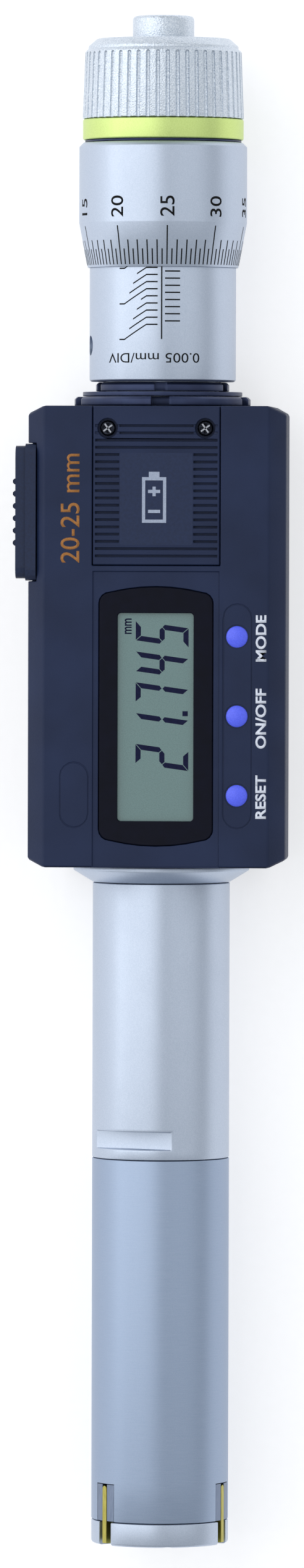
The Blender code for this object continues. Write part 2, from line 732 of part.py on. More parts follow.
def anvils(bench, steel, carbide):
    """Sliding anvils whose slanted inner faces lie on the cone, each with a carbide blade."""
    blade_back = HEAD_RADIUS - BLADE_DEPTH
    half = 0.5 * ANVIL_WIDTH
    reach = math.degrees(math.asin(half / HEAD_RADIUS))
    cone_clearance = FIT * math.hypot(1.0, CONE_SLOPE)
    contact_top = CONE_TIP_HEIGHT + (ANVIL_INNER - cone_clearance - CONE_TIP_RADIUS) / CONE_SLOPE
    half_tongue = 0.5 * TONGUE_WIDTH
    half_blade = 0.5 * BLADE_WIDTH
    half_groove = half_blade + SLIDE_FIT
    blade_top = ANVIL_TOP - BLADE_TOP_GAP
    for number, angle in enumerate(anvil_angles(), start=1):
        outline = ([(ANVIL_INNER, -half)] + arc((0.0, 0.0), HEAD_RADIUS, -reach, reach, 4)
                   + [(ANVIL_INNER, half)])
        shape = prism(outline, ANVIL_FOOT, ANVIL_TOP)
        trimmed(shape, (ANVIL_INNER, 0.0, contact_top), (-1.0, 0.0, CONE_SLOPE))
        anvil = bench.place(f"anvil_{number}", shape, steel, turn=facing(angle))
        bench.add(anvil, "tongue", block((CAP_SLOT_FLOOR + FIT, HEAD_RADIUS - TONGUE_SETBACK),
                                         (-half_tongue, half_tongue), (BLADE_BOTTOM, ANVIL_FOOT + ROOT)))
        bench.cut(anvil, "blade_groove", block((blade_back - SLIDE_FIT, HEAD_RADIUS + OVERCUT),
                                               (-half_groove, half_groove), (-OVERCUT, ANVIL_TOP + OVERCUT)))
        blade_outline = ([(-half_blade, BLADE_BOTTOM), (half_blade, BLADE_BOTTOM)]
                         + arc((0.0, blade_top - half_blade), half_blade, 0.0, 180.0, 6))
        bench.place(f"anvil_blade_{number}", prism(blade_outline, blade_back, HEAD_RADIUS + BLADE_PROUD, "X"),
                    carbide, turn=facing(angle))


def cone(bench, steel):
    bench.place("cone", turned([
        (0.0, CONE_TIP_HEIGHT), (CONE_TIP_RADIUS, CONE_TIP_HEIGHT), (CONE_TOP_RADIUS, CONE_TOP),
        (CONE_GUIDE_RADIUS, CONE_TOP + CONE_SHOULDER), (CONE_GUIDE_RADIUS, CONE_GUIDE_TOP),
        (CONE_SHANK_RADIUS, CONE_GUIDE_TOP), (CONE_SHANK_RADIUS, CONE_SHANK_TOP),
        (0.0, CONE_SHANK_TOP)], SEG_MID), steel)


def push_rod(bench, steel, spring_steel):
    collar_foot = COLLAR_SEAT + FIT
    collar_top = collar_foot + ROD_COLLAR
    bench.place("push_rod", turned([
        (0.0, ROD_FOOT), (ROD_RADIUS, ROD_FOOT), (ROD_RADIUS, collar_foot), (ROD_COLLAR_RADIUS, collar_foot),
        (ROD_COLLAR_RADIUS, collar_top), (ROD_RADIUS, collar_top), (ROD_RADIUS, ROD_TOP),
        (0.0, ROD_TOP)], SEG_ROD), steel)
    bench.coil("return_spring", SPRING_RADIUS, SPRING_WIRE, SPRING_TURNS, SPRING_FOOT,
               SPRING_FOOT + SPRING_LENGTH, spring_steel)


def extension_tube(bench, steel):
    socket = SPIGOT_RADIUS + FIT
    spigot_end = TUBE_TOP + SPIGOT_LENGTH
    tube = bench.place("extension_tube", turned([
        (0.0, TUBE_FOOT), (HEAD_RADIUS - EDGE, TUBE_FOOT), (HEAD_RADIUS, TUBE_FOOT + EDGE),
        (HEAD_RADIUS, TUBE_TOP - EDGE), (HEAD_RADIUS - EDGE, TUBE_TOP), (SPIGOT_RADIUS, TUBE_TOP),
        (SPIGOT_RADIUS, spigot_end), (0.0, spigot_end)], SEG_BIG), steel)
    bench.cut(tube, "bore", turned([
        (0.0, TUBE_FOOT - OVERCUT), (socket, TUBE_FOOT - OVERCUT), (socket, SPIGOT_TOP + FIT),
        (ROD_BORE, SPIGOT_TOP + FIT), (ROD_BORE, spigot_end + OVERCUT), (0.0, spigot_end + OVERCUT)], SEG_MID))
    flat_foot = TUBE_FOOT + FLATS_HEIGHT
    flats = [spoke(block((0.5 * FLATS_ACROSS, HEAD_RADIUS + OVERCUT), (-HEAD_RADIUS, HEAD_RADIUS),
                         (flat_foot, flat_foot + FLATS_LENGTH)), FLATS_ANGLE + side) for side in (0.0, 180.0)]
    bench.cut(tube, "spanner_flats", combined(flats))


def main_barrel(bench, satin_chrome):
    socket = SPIGOT_RADIUS + FIT
    socket_top = TUBE_TOP + SPIGOT_LENGTH + FIT
    seat_top = COLLAR_TOP + BARREL_SEAT
    upper_seat = HOUSING_TOP - BARREL_SEAT
    nut_foot = BARREL_TOP - SPINDLE_THREAD_LENGTH
    barrel = bench.place("main_barrel", turned([
        (0.0, COLLAR_FOOT), (HEAD_RADIUS, COLLAR_FOOT), (COLLAR_RADIUS, COLLAR_FOOT + COLLAR_RISE),
        (COLLAR_RADIUS, COLLAR_TOP), (BARREL_SEAT_RADIUS, COLLAR_TOP), (BARREL_SEAT_RADIUS, seat_top),
        (BARREL_WAIST_RADIUS, seat_top), (BARREL_WAIST_RADIUS, upper_seat), (BARREL_SEAT_RADIUS, upper_seat),
        (BARREL_SEAT_RADIUS, BARREL_SHOULDER), (THREAD_RADIUS, BARREL_SHOULDER), (THREAD_RADIUS, BARREL_TOP),
        (0.0, BARREL_TOP)], SEG_BIG), satin_chrome)
    bench.cut(barrel, "bore", turned([
        (0.0, COLLAR_FOOT - OVERCUT), (socket, COLLAR_FOOT - OVERCUT), (socket, socket_top),
        (BARREL_BORE, socket_top), (BARREL_BORE, nut_foot), (NUT_BORE, nut_foot),
        (NUT_BORE, BARREL_TOP + OVERCUT), (0.0, BARREL_TOP + OVERCUT)], SEG_MID))


def housing_section():
    """Cross-section of the whole housing, seen along its length."""
    right = [(FACE_HALF_WIDTH, FACE), (HOUSING_HALF_WIDTH, FACE + FACE_CHAMFER_DEPTH),
             (HOUSING_HALF_WIDTH, SIDE_WALL_END), (REAR_SHOULDER, REAR_EDGE_DEPTH),
             (REAR_HALF_WIDTH, REAR_DEPTH)]
    left = [(-x, y) for x, y in reversed(right)]
    return right + left


def housing_solid():
    """The closed housing with its cut corners, before it is hollowed and parted."""
    shape = prism(housing_section(), HOUSING_FOOT, HOUSING_TOP)
    corner = HOUSING_HALF_WIDTH - FACE_HALF_WIDTH
    for side in (-1.0, 1.0):
        for height, up in ((HOUSING_FOOT, -1.0), (HOUSING_TOP, 1.0)):
            point = (side * FACE_HALF_WIDTH, 0.0, height)
            trimmed(shape, point, (side * CORNER_RISE, 0.0, up * corner))
    bmesh.ops.bevel(shape, geom=shape.edges[:], offset=HOUSING_BEVEL, segments=1, affect="EDGES")
    bmesh.ops.recalc_face_normals(shape, faces=shape.faces[:])
    return shape


def housing_cavity():
    return prism(inset_outline(housing_section(), WALL), HOUSING_FOOT + WALL, HOUSING_TOP - WALL)


def boss_places():
    return [(x, z) for x in (-BOSS_X, BOSS_X) for z in (HOUSING_FOOT + BOSS_INSET, HOUSING_TOP - BOSS_INSET)]


def barrel_hole():
    radius = BARREL_SEAT_RADIUS + FIT
    return turned([(0.0, HOUSING_FOOT - OVERCUT), (radius, HOUSING_FOOT - OVERCUT),
                   (radius, HOUSING_TOP + OVERCUT), (0.0, HOUSING_TOP + OVERCUT)], SEG_BIG)


def rod_shape(radius, low, high, segments=SEG_SMALL):
    return turned([(0.0, low), (radius, low), (radius, high), (0.0, high)], segments)


def window_outline(grow):
    """Display window with gently arched ends and round corners."""
    half = WINDOW_HALF_WIDTH + grow
    top = HOUSING_FOOT + WINDOW_TOP + grow
    bottom = HOUSING_FOOT + WINDOW_BOTTOM - grow
    radius = WINDOW_CORNER + grow
    inner = half - radius
    arch = [inner - 2.0 * inner * step / ARCH_STEPS for step in range(1, ARCH_STEPS)]
    rise = [WINDOW_ARCH * (1.0 - (x / inner) ** 2) for x in arch]
    shoulder_top = top - WINDOW_ARCH
    shoulder_bottom = bottom + WINDOW_ARCH
    return (arc((inner, shoulder_top - radius), radius, 0.0, 90.0, CORNER_STEPS)
            + [(x, shoulder_top + lift) for x, lift in zip(arch, rise)]
            + arc((-inner, shoulder_top - radius), radius, 90.0, 180.0, CORNER_STEPS)
            + arc((-inner, shoulder_bottom + radius), radius, 180.0, 270.0, CORNER_STEPS)
            + [(-x, shoulder_bottom - lift) for x, lift in zip(arch, rise)]
            + arc((inner, shoulder_bottom + radius), radius, 270.0, 360.0, CORNER_STEPS))


def cover_screw_places():
    return [(x, COVER_SCREW_HEIGHT) for x in (-COVER_SCREW_X, COVER_SCREW_X)]


def button_places():
    return [(BUTTON_X, HOUSING_FOOT + height) for height in BUTTON_HEIGHTS.values()]


def strip_outline(x, bottom, top, grow=0.0):
    """Outline of a strip in the display face, or of its pocket."""
    return stadium(x, STRIP_HALF_WIDTH + grow, HOUSING_FOOT + bottom - grow, HOUSING_FOOT + top + grow)


def front_housing(bench, plastic):
    shape = housing_solid()
    trimmed(shape, (0.0, -0.5 * PARTING_GAP, 0.0), (0.0, 1.0, 0.0))
    piece = bench.place("front_housing", shape, plastic)
    bench.cut(piece, "cavity", housing_cavity())
    front_root = -FACE_BACK + ROOT
    bench.add(piece, "battery_deck", block((-DECK_HALF_WIDTH, DECK_HALF_WIDTH), (FACE_BACK - ROOT, DECK_BACK),
                                           (COVER_FOOT - LEDGE_HEIGHT, HOUSING_TOP - 0.5 * WALL)))
    bench.add(piece, "bosses", combined([
        moved(rod_shape(BOSS_RADIUS, PARTING_GAP, front_root), to_front(x, z)) for x, z in boss_places()]))
    post_heights = (HOUSING_FOOT + BOARD_BOTTOM + POST_INSET, HOUSING_FOOT + BOARD_TOP - POST_INSET)
    bench.add(piece, "board_posts", combined([
        moved(rod_shape(POST_RADIUS, -BOARD_FRONT + FIT, front_root), to_front(x, z))
        for x in (-POST_X, POST_X) for z in post_heights]))
    bench.cut(piece, "barrel_hole", barrel_hole())
    open_front = FACE - OVERCUT
    bench.cut(piece, "centre_band", block((-BAND_HALF_WIDTH, BAND_HALF_WIDTH), (open_front, BAND_FLOOR),
                                          (HOUSING_FOOT - OVERCUT, COVER_FOOT - COVER_GAP - LEDGE_HEIGHT)))
    pocket_half_width = COVER_HALF_WIDTH + COVER_GAP
    bench.cut(piece, "cover_pocket", block((-pocket_half_width, pocket_half_width), (open_front, COVER_FLOOR),
                                           (COVER_FOOT - COVER_GAP, HOUSING_TOP + OVERCUT)))
    bench.cut(piece, "window_pocket", prism(window_outline(SEAM), open_front, WINDOW_FLOOR, "Y"))
    bench.cut(piece, "view_opening", block((-VIEW_HALF_WIDTH, VIEW_HALF_WIDTH), (FACE, FACE_BACK + OVERCUT),
                                           (HOUSING_FOOT + VIEW_BOTTOM, HOUSING_FOOT + VIEW_TOP)))
    bench.cut(piece, "key_pocket", prism(
        strip_outline(KEY_STRIP_X, KEY_STRIP_BOTTOM, KEY_STRIP_TOP, STRIP_GAP), open_front, STRIP_FLOOR, "Y"))
    bench.cut(piece, "blank_pocket", prism(
        strip_outline(BLANK_STRIP_X, BLANK_STRIP_BOTTOM, BLANK_STRIP_TOP, STRIP_GAP),
        open_front, STRIP_FLOOR, "Y"))
    holes = [moved(rod_shape(BUTTON_RADIUS + BUTTON_GAP, -FACE_BACK - OVERCUT, FACE_DEPTH + OVERCUT, SEG_ROD),
                   to_front(x, z)) for x, z in button_places()]
    holes += [moved(rod_shape(CELL_RADIUS + FIT, -DECK_BACK - OVERCUT, FACE_DEPTH, SEG_MID),
                    to_front(0.0, CELL_HEIGHT))]
    holes += [moved(rod_shape(COVER_SCREW_SHANK + SCREW_PLAY, -DECK_BACK - OVERCUT, FACE_DEPTH), to_front(x, z))
              for x, z in cover_screw_places()]
    holes += [moved(rod_shape(REAR_SCREW_SHANK + SCREW_PLAY, -OVERCUT, REAR_SCREW_ENGAGE + OVERCUT),
                    to_front(x, z)) for x, z in boss_places()]
    bench.cut(piece, "holes", combined(holes))
    bench.cut(piece, "cap_seat", block((-HOUSING_HALF_WIDTH - OVERCUT, -CAP_SEAT_X),
                                       (open_front, CAP_BACK + SEAM),
                                       (HOUSING_FOOT + CAP_BOTTOM - SEAM, HOUSING_FOOT + CAP_TOP + SEAM)))
    bench.cut(piece, "plug_opening", plug_block(-CAP_SEAT_X - OVERCUT, -CAP_SEAT_X + OVERCUT, -FIT))
    return piece


def rear_cover(bench, plastic, screw_steel):
    shape = housing_solid()
    trimmed(shape, (0.0, 0.5 * PARTING_GAP, 0.0), (0.0, -1.0, 0.0))
    piece = bench.place("rear_cover", shape, plastic)
    bench.cut(piece, "cavity", housing_cavity())
    bench.add(piece, "bosses", combined([
        moved(rod_shape(REAR_BOSS_RADIUS, PARTING_GAP, REAR_DEPTH - 0.5 * WALL), to_rear(x, z))
        for x, z in boss_places()]))
    bench.cut(piece, "barrel_hole", barrel_hole())
    head_seat = REAR_DEPTH - REAR_SCREW_RECESS
    well = [(0.0, 0.0), (REAR_SCREW_HOLE, 0.0), (REAR_SCREW_HOLE, head_seat), (REAR_WELL_RADIUS, head_seat),
            (REAR_WELL_RADIUS, REAR_DEPTH + OVERCUT), (0.0, REAR_DEPTH + OVERCUT)]
    bench.cut(piece, "screw_wells", combined([
        moved(turned(well, SEG_SMALL), to_rear(x, z)) for x, z in boss_places()]))
    head_foot = head_seat + SEAM
    head_top = head_foot + REAR_SCREW_HEAD_HEIGHT
    for number, (x, z) in enumerate(boss_places(), start=1):
        screw = turned([(0.0, -REAR_SCREW_ENGAGE), (REAR_SCREW_SHANK, -REAR_SCREW_ENGAGE),
                        (REAR_SCREW_SHANK, head_foot), (REAR_SCREW_HEAD, head_foot),
                        (REAR_SCREW_HEAD, head_top - REAR_SCREW_CHAMFER),
                        (REAR_SCREW_HEAD - REAR_SCREW_CHAMFER, head_top), (0.0, head_top)], SEG_SMALL)
        moved(screw, Matrix.Rotation(-math.pi / 2.0, 4, "X"))
        item = bench.place(f"rear_cover_screw_{number}", screw, screw_steel, location=(x, 0.0, z))
        bench.cut(item, "cross", cross_recess(REAR_CROSS_REACH, REAR_CROSS_WIDTH, head_top - REAR_CROSS_DEPTH,
                                              REAR_DEPTH + OVERCUT))


def cross_recess(half_length, width, y_low, y_high):
    """Cross-shaped driver recess, cut along Y."""
    arm = [(half_length, -0.5 * width), (half_length, 0.5 * width), (0.5 * width, 0.5 * width)]
    outline = []
    for cosine, sine in ((1, 0), (0, 1), (-1, 0), (0, -1)):
        outline += [(cosine * x - sine * z, sine * x + cosine * z) for x, z in arm]
    return prism(outline, y_low, y_high, "Y")


def battery_cover(bench, plastic):
    cover = bench.place("battery_cover", block((-COVER_HALF_WIDTH, COVER_HALF_WIDTH),
                                               (FACE, FACE + COVER_THICKNESS),
                                               (COVER_FOOT, HOUSING_TOP - SLIDE_FIT)), plastic)
    grooves = []
    rows = FULL_GROOVES_TOP + SIDE_GROOVES + FULL_GROOVES_BOTTOM
    for row in range(rows):
        height = HOUSING_TOP - TOP_GROOVE_DROP - GROOVE_PITCH * row
        spans = [(-SIDE_GROOVE_OUTER, SIDE_GROOVE_OUTER)]
        if FULL_GROOVES_TOP <= row < rows - FULL_GROOVES_BOTTOM:
            spans = [(-SIDE_GROOVE_OUTER, -SIDE_GROOVE_INNER), (SIDE_GROOVE_INNER, SIDE_GROOVE_OUTER)]
        for span in spans:
            grooves.append(block(span, (FACE - OVERCUT, FACE + GROOVE_DEPTH),
                                 (height - 0.5 * GROOVE_WIDTH, height + 0.5 * GROOVE_WIDTH)))
    bench.cut(cover, "grooves", combined(grooves))
    hole = COVER_SCREW_SHANK + SCREW_PLAY
    seat = FACE_DEPTH - COVER_SCREW_SINK
    back = FACE_DEPTH - COVER_THICKNESS - OVERCUT
    well = [(0.0, FACE_DEPTH + OVERCUT), (COVER_SCREW_HOLE, FACE_DEPTH + OVERCUT), (COVER_SCREW_HOLE, seat),
            (hole, seat), (hole, back), (0.0, back)]
    bench.cut(cover, "screw_wells", combined([
        moved(turned(well, SEG_ROD), to_front(x, z)) for x, z in cover_screw_places()]))


def battery_cover_screws(bench, screw_steel):
    head_back = FACE_DEPTH - COVER_SCREW_SINK + SEAM
    head_front = head_back + COVER_SCREW_HEAD_HEIGHT
    end = head_back - COVER_SCREW_LENGTH
    for number, (x, z) in enumerate(cover_screw_places(), start=1):
        screw = turned([(0.0, head_front), (COVER_SCREW_HEAD - COVER_SCREW_CHAMFER, head_front),
                        (COVER_SCREW_HEAD, head_front - COVER_SCREW_CHAMFER), (COVER_SCREW_HEAD, head_back),
                        (COVER_SCREW_SHANK, head_back), (COVER_SCREW_SHANK, end), (0.0, end)], SEG_ROD)
        moved(screw, Matrix.Rotation(math.pi / 2.0, 4, "X"))
        item = bench.place(f"battery_cover_screw_{number}", screw, screw_steel, location=(x, 0.0, z))
        bench.cut(item, "cross", cross_recess(COVER_CROSS_REACH, COVER_CROSS_WIDTH, -head_front - OVERCUT,
                                              -head_front + COVER_CROSS_DEPTH))


def battery(bench, cell_steel, contact_metal):
    """Round cell behind the cover, and the spring contact that joins its back to the board."""
    rim = -CELL_FRONT - CELL_STEP_HEIGHT
    cell = turned([(0.0, -CELL_FRONT), (CELL_RADIUS - CELL_STEP, -CELL_FRONT), (CELL_RADIUS - CELL_STEP, rim),
                   (CELL_RADIUS, rim - CELL_CHAMFER), (CELL_RADIUS, -CELL_FRONT - CELL_THICKNESS),
                   (0.0, -CELL_FRONT - CELL_THICKNESS)], SEG_MID)
    moved(cell, Matrix.Rotation(math.pi / 2.0, 4, "X"))
    bench.place("battery_cell", cell, cell_steel, location=(0.0, 0.0, CELL_HEIGHT))

    back = CELL_FRONT + CELL_THICKNESS + SEAM
    strip_top = CELL_HEIGHT + CELL_RADIUS
    foot = HOUSING_FOOT + BOARD_TOP + SEAM
    bend = foot + CONTACT_BEND
    clip = [(back, strip_top), (back, bend), (BOARD_FRONT, foot + CONTACT_THICKNESS), (BOARD_FRONT, foot),
            (back + SEAM, bend - CONTACT_THICKNESS), (back + CONTACT_THICKNESS, bend),
            (back + CONTACT_THICKNESS, strip_top)]
    bench.place("battery_contact", prism(clip, -CONTACT_HALF_WIDTH, CONTACT_HALF_WIDTH, "X"), contact_metal)


def display(bench, window_plastic, lcd_glass):
    bench.place("display_window", prism(window_outline(0.0), WINDOW_FACE, WINDOW_FACE + WINDOW_THICKNESS, "Y"),
                window_plastic)
    bench.place("lcd_panel", block((-LCD_HALF_WIDTH, LCD_HALF_WIDTH), (LCD_FRONT, LCD_FRONT + LCD_THICKNESS),
                                   (HOUSING_FOOT + VIEW_BOTTOM - LCD_MARGIN,
                                    HOUSING_FOOT + VIEW_TOP + LCD_MARGIN)), lcd_glass)


def keys(bench, plastic, button_plastic):
    strip = bench.place("key_strip", prism(strip_outline(KEY_STRIP_X, KEY_STRIP_BOTTOM, KEY_STRIP_TOP),
                                           FACE, FACE + STRIP_THICKNESS, "Y"), plastic)
    strip_back = FACE_DEPTH - STRIP_THICKNESS - OVERCUT
    bench.cut(strip, "button_holes", combined([
        moved(rod_shape(BUTTON_RADIUS + BUTTON_GAP, strip_back, FACE_DEPTH + OVERCUT, SEG_ROD), to_front(x, z))
        for x, z in button_places()]))
    bench.place("blank_strip", prism(strip_outline(BLANK_STRIP_X, BLANK_STRIP_BOTTOM, BLANK_STRIP_TOP),
                                     FACE, FACE + STRIP_THICKNESS, "Y"), plastic)
    flange_front = -WALL - FIT
    flange_back = flange_front - BUTTON_FLANGE_THICKNESS
    for name, (x, z) in zip(BUTTON_HEIGHTS, button_places()):
        button = turned(
            [(0.0, BUTTON_DOME)]
            + [(out * BUTTON_RADIUS, rise * BUTTON_DOME) for out, rise in BUTTON_DOME_SHAPE]
            + [(BUTTON_RADIUS, 0.0), (BUTTON_RADIUS, flange_front), (BUTTON_FLANGE, flange_front),
               (BUTTON_FLANGE, flange_back), (0.0, flange_back)], SEG_ROD)
        moved(button, Matrix.Rotation(math.pi / 2.0, 4, "X"))
        bench.place(name, button, button_plastic, location=(x, FACE, z))


def circuit_board(bench, laminate):
    board = bench.place("circuit_board", block((-BOARD_HALF_WIDTH, BOARD_HALF_WIDTH),
                                               (BOARD_FRONT, BOARD_FRONT + BOARD_THICKNESS),
                                               (HOUSING_FOOT + BOARD_BOTTOM, HOUSING_FOOT + BOARD_TOP)),
                        laminate)
    button_back = FACE + WALL + FIT + BUTTON_FLANGE_THICKNESS
    switch_front = button_back + BUTTON_TRAVEL + SWITCH_GAP
    bench.add(board, "switches", combined([
        moved(rod_shape(SWITCH_RADIUS, -BOARD_FRONT - ROOT, -switch_front), to_front(x - SWITCH_SHIFT, z))
        for x, z in button_places()]))
    board_back = BOARD_FRONT + BOARD_THICKNESS
    chip_foot = HOUSING_FOOT + CHIP_BOTTOM
    bench.add(board, "chip", block((-CHIP_HALF_WIDTH, CHIP_HALF_WIDTH),
                                   (board_back - ROOT, board_back + CHIP_THICKNESS),
                                   (chip_foot, chip_foot + CHIP_HEIGHT)))


def plug_block(x_low, x_high, shrink):
    """Box of the connector's socket, made smaller all round for the plug."""
    return block((x_low, x_high),
                 (CAP_FRONT + PLUG_INSET + shrink, CAP_BACK - PLUG_BACK_INSET - shrink),
                 (HOUSING_FOOT + CAP_BOTTOM + PLUG_END_INSET + shrink,
                  HOUSING_FOOT + CAP_TOP - PLUG_END_INSET - shrink))


def connector_cap(bench, rubber):
    bottom = HOUSING_FOOT + CAP_BOTTOM
    top = HOUSING_FOOT + CAP_TOP
    inset = CAP_PAD_INSET
    flange = rounded_rectangle((CAP_FRONT, bottom), (CAP_BACK, top), CAP_CORNER)
    pad = rounded_rectangle((CAP_FRONT + inset, bottom + inset), (CAP_BACK - inset, top - inset), CAP_CORNER)
    cap = bench.place("connector_cap", prism(flange, -CAP_SEAT_X - SEAM, -CAP_FLANGE_X, "X"), rubber)
    bench.add(cap, "pad", prism(pad, -CAP_SEAT_X - SEAM - ROOT, -CAP_PAD_X, "X"))
    first = 0.5 * (bottom + top) - 0.5 * (CAP_RIBS - 1) * CAP_RIB_PITCH
    ribs = []
    for number in range(CAP_RIBS):
        height = first + CAP_RIB_PITCH * number
        outline = rounded_rectangle((-CAP_RIB_X, height - 0.5 * CAP_RIB_HEIGHT),
                                    (-CAP_PAD_X + CAP_RIB_ROOT, height + 0.5 * CAP_RIB_HEIGHT),
                                    CAP_RIB_CORNER, 1)
        ribs.append(prism(outline, CAP_FRONT + 2.0 * inset, CAP_BACK - 2.0 * inset, "Y"))
    bench.add(cap, "ribs", combined(ribs))
    bench.add(cap, "plug", plug_block(-CAP_SEAT_X - SEAM - ROOT, -CAP_SEAT_X - SEAM + PLUG_DEPTH, FIT))


def output_connector(bench, connector_plastic):
    outer = -HOUSING_HALF_WIDTH + WALL + FIT
    floor = outer + SOCKET_DEPTH
    socket_front = CAP_FRONT + PLUG_INSET
    socket_back = CAP_BACK - PLUG_BACK_INSET
    end = PLUG_END_INSET - CONNECTOR_WALL
    connector = bench.place("output_connector", block(
        (outer, outer + CONNECTOR_DEPTH), (socket_front - FIT, socket_back + CONNECTOR_WALL),
        (HOUSING_FOOT + CAP_BOTTOM + end, HOUSING_FOOT + CAP_TOP - end)), connector_plastic)
    bench.cut(connector, "socket", plug_block(outer - OVERCUT, floor, 0.0))
    centre = (0.5 * (socket_front + socket_back), HOUSING_FOOT + 0.5 * (CAP_BOTTOM + CAP_TOP))
    pins = []
    for row in (-0.5, 0.5):
        for column in range(PIN_COLUMNS):
            y = centre[0] + row * PIN_PITCH
            z = centre[1] + (column - 0.5 * (PIN_COLUMNS - 1)) * PIN_PITCH
            pins.append(block((floor - PIN_HEIGHT, floor + ROOT), (y - 0.5 * PIN_SIZE, y + 0.5 * PIN_SIZE),
                              (z - 0.5 * PIN_SIZE, z + 0.5 * PIN_SIZE)))
    bench.add(connector, "contacts", combined(pins))


def ring_nut(bench, name, radius, foot, height, notch_width, notch_depth, material):
    """Black ring nut round the barrel, with notches for a hook spanner."""
    bore = BARREL_SEAT_RADIUS + FIT
    nut = bench.place(name, turned([(bore, foot), (radius, foot), (radius, foot + height - NUT_CHAMFER),
                                    (radius - NUT_CHAMFER, foot + height), (bore, foot + height)],
                                   SEG_BIG), material)
    notches = [spoke(block((radius - notch_depth, radius + OVERCUT), (-0.5 * notch_width, 0.5 * notch_width),
                           (foot - OVERCUT, foot + height + OVERCUT)),
                     FIRST_NOTCH_ANGLE + 360.0 * index / NOTCH_COUNT) for index in range(NOTCH_COUNT)]
    return bench.cut(nut, "notches", combined(notches))


def ring_nuts(bench, black_metal):
    ring_nut(bench, "lower_ring_nut", LOWER_NUT_RADIUS, LOWER_NUT_FOOT, LOWER_NUT_HEIGHT,
             LOWER_NOTCH_WIDTH, LOWER_NOTCH_DEPTH, black_metal)
    bore = BARREL_SEAT_RADIUS + FIT
    bench.place("seal_disc", turned([(bore, DISC_FOOT), (DISC_RADIUS, DISC_FOOT),
                                     (DISC_RADIUS, DISC_FOOT + DISC_HEIGHT), (bore, DISC_FOOT + DISC_HEIGHT)],
                                    SEG_BIG), black_metal)
    ring_nut(bench, "upper_ring_nut", UPPER_NUT_RADIUS, UPPER_NUT_FOOT, UPPER_NUT_HEIGHT,
             UPPER_NOTCH_WIDTH, UPPER_NOTCH_DEPTH, black_metal)


def scale_sleeve(bench, satin_chrome):
    bore = BARREL_SEAT_RADIUS + FIT
    sleeve = bench.place("scale_sleeve", turned([
        (bore, SLEEVE_FOOT), (SLEEVE_RADIUS - SLEEVE_CHAMFER, SLEEVE_FOOT),
        (SLEEVE_RADIUS, SLEEVE_FOOT + SLEEVE_CHAMFER), (SLEEVE_RADIUS, SLEEVE_TOP), (bore, SLEEVE_TOP)],
        SEG_BIG), satin_chrome)
    lie_down = (Matrix.Translation((0.0, 0.0, SLEEVE_FOOT + SPANNER_HOLE_HEIGHT))
                @ Matrix.Rotation(math.pi / 2.0, 4, "Y"))
    hole_floor = SLEEVE_RADIUS - SPANNER_HOLE_DEPTH
    holes = [spoke(moved(rod_shape(SPANNER_HOLE, hole_floor, SLEEVE_RADIUS + OVERCUT), lie_down), angle)
             for angle in SPANNER_HOLE_ANGLES]
    bench.cut(sleeve, "spanner_holes", combined(holes))


def adjusting_nut(bench, steel):
    """Slotted nut on the barrel's outer thread, which takes up play in the spindle's thread."""
    foot = BARREL_SHOULDER + ADJUSTER_LIFT
    top = foot + ADJUSTER_HEIGHT
    bore = THREAD_RADIUS + FIT
    nut = bench.place("adjusting_nut", turned([
        (bore, foot), (ADJUSTER_RADIUS, foot), (ADJUSTER_RADIUS, top), (bore, top)], SEG_MID), steel)
    bench.cut(nut, "spanner_slot", block((-ADJUSTER_RADIUS - OVERCUT, ADJUSTER_RADIUS + OVERCUT),
                                         (-0.5 * ADJUSTER_SLOT, 0.5 * ADJUSTER_SLOT),
                                         (top - ADJUSTER_SLOT_DEPTH, top + OVERCUT)))


def thimble(bench, satin_chrome):
    bore = SPINDLE_TOP_RADIUS + FIT
    bench.place("thimble", turned([
        (THIMBLE_BORE, THIMBLE_FOOT), (THIMBLE_EDGE_RADIUS, THIMBLE_FOOT),
        (THIMBLE_RADIUS, THIMBLE_FOOT + THIMBLE_CONE), (THIMBLE_RADIUS, THIMBLE_TOP - THIMBLE_CHAMFER),
        (THIMBLE_RADIUS - THIMBLE_CHAMFER, THIMBLE_TOP), (bore, THIMBLE_TOP), (bore, WEB_FOOT),
        (THIMBLE_BORE, WEB_FOOT)], SEG_BIG), satin_chrome)


def spindle(bench, steel):
    thread_foot = SPINDLE_THREAD_TOP - SPINDLE_THREAD_LENGTH
    tap_floor = SPINDLE_TOP - SPINDLE_TAP_DEPTH
    bench.place("spindle", turned([
        (0.0, SPINDLE_FOOT), (SPINDLE_RADIUS, SPINDLE_FOOT), (SPINDLE_RADIUS, thread_foot),
        (SPINDLE_THREAD, thread_foot), (SPINDLE_THREAD, SPINDLE_THREAD_TOP),
        (SPINDLE_TOP_RADIUS, SPINDLE_THREAD_TOP), (SPINDLE_TOP_RADIUS, SPINDLE_TOP),
        (SPINDLE_TAP_RADIUS, SPINDLE_TOP), (SPINDLE_TAP_RADIUS, tap_floor), (0.0, tap_floor)], SEG_MID), steel)


def encoder(bench, laminate):
    bore = SPINDLE_RADIUS + FIT
    stator_foot = HOUSING_FOOT + ENCODER_HEIGHT
    rotor_foot = stator_foot + ENCODER_THICKNESS + FIT
    for name, radius, foot in (("encoder_stator", STATOR_RADIUS, stator_foot),
                               ("encoder_rotor", ROTOR_RADIUS, rotor_foot)):
        top = foot + ENCODER_THICKNESS
        bench.place(name, turned([(bore, foot), (radius, foot), (radius, top), (bore, top)], SEG_MID), laminate)


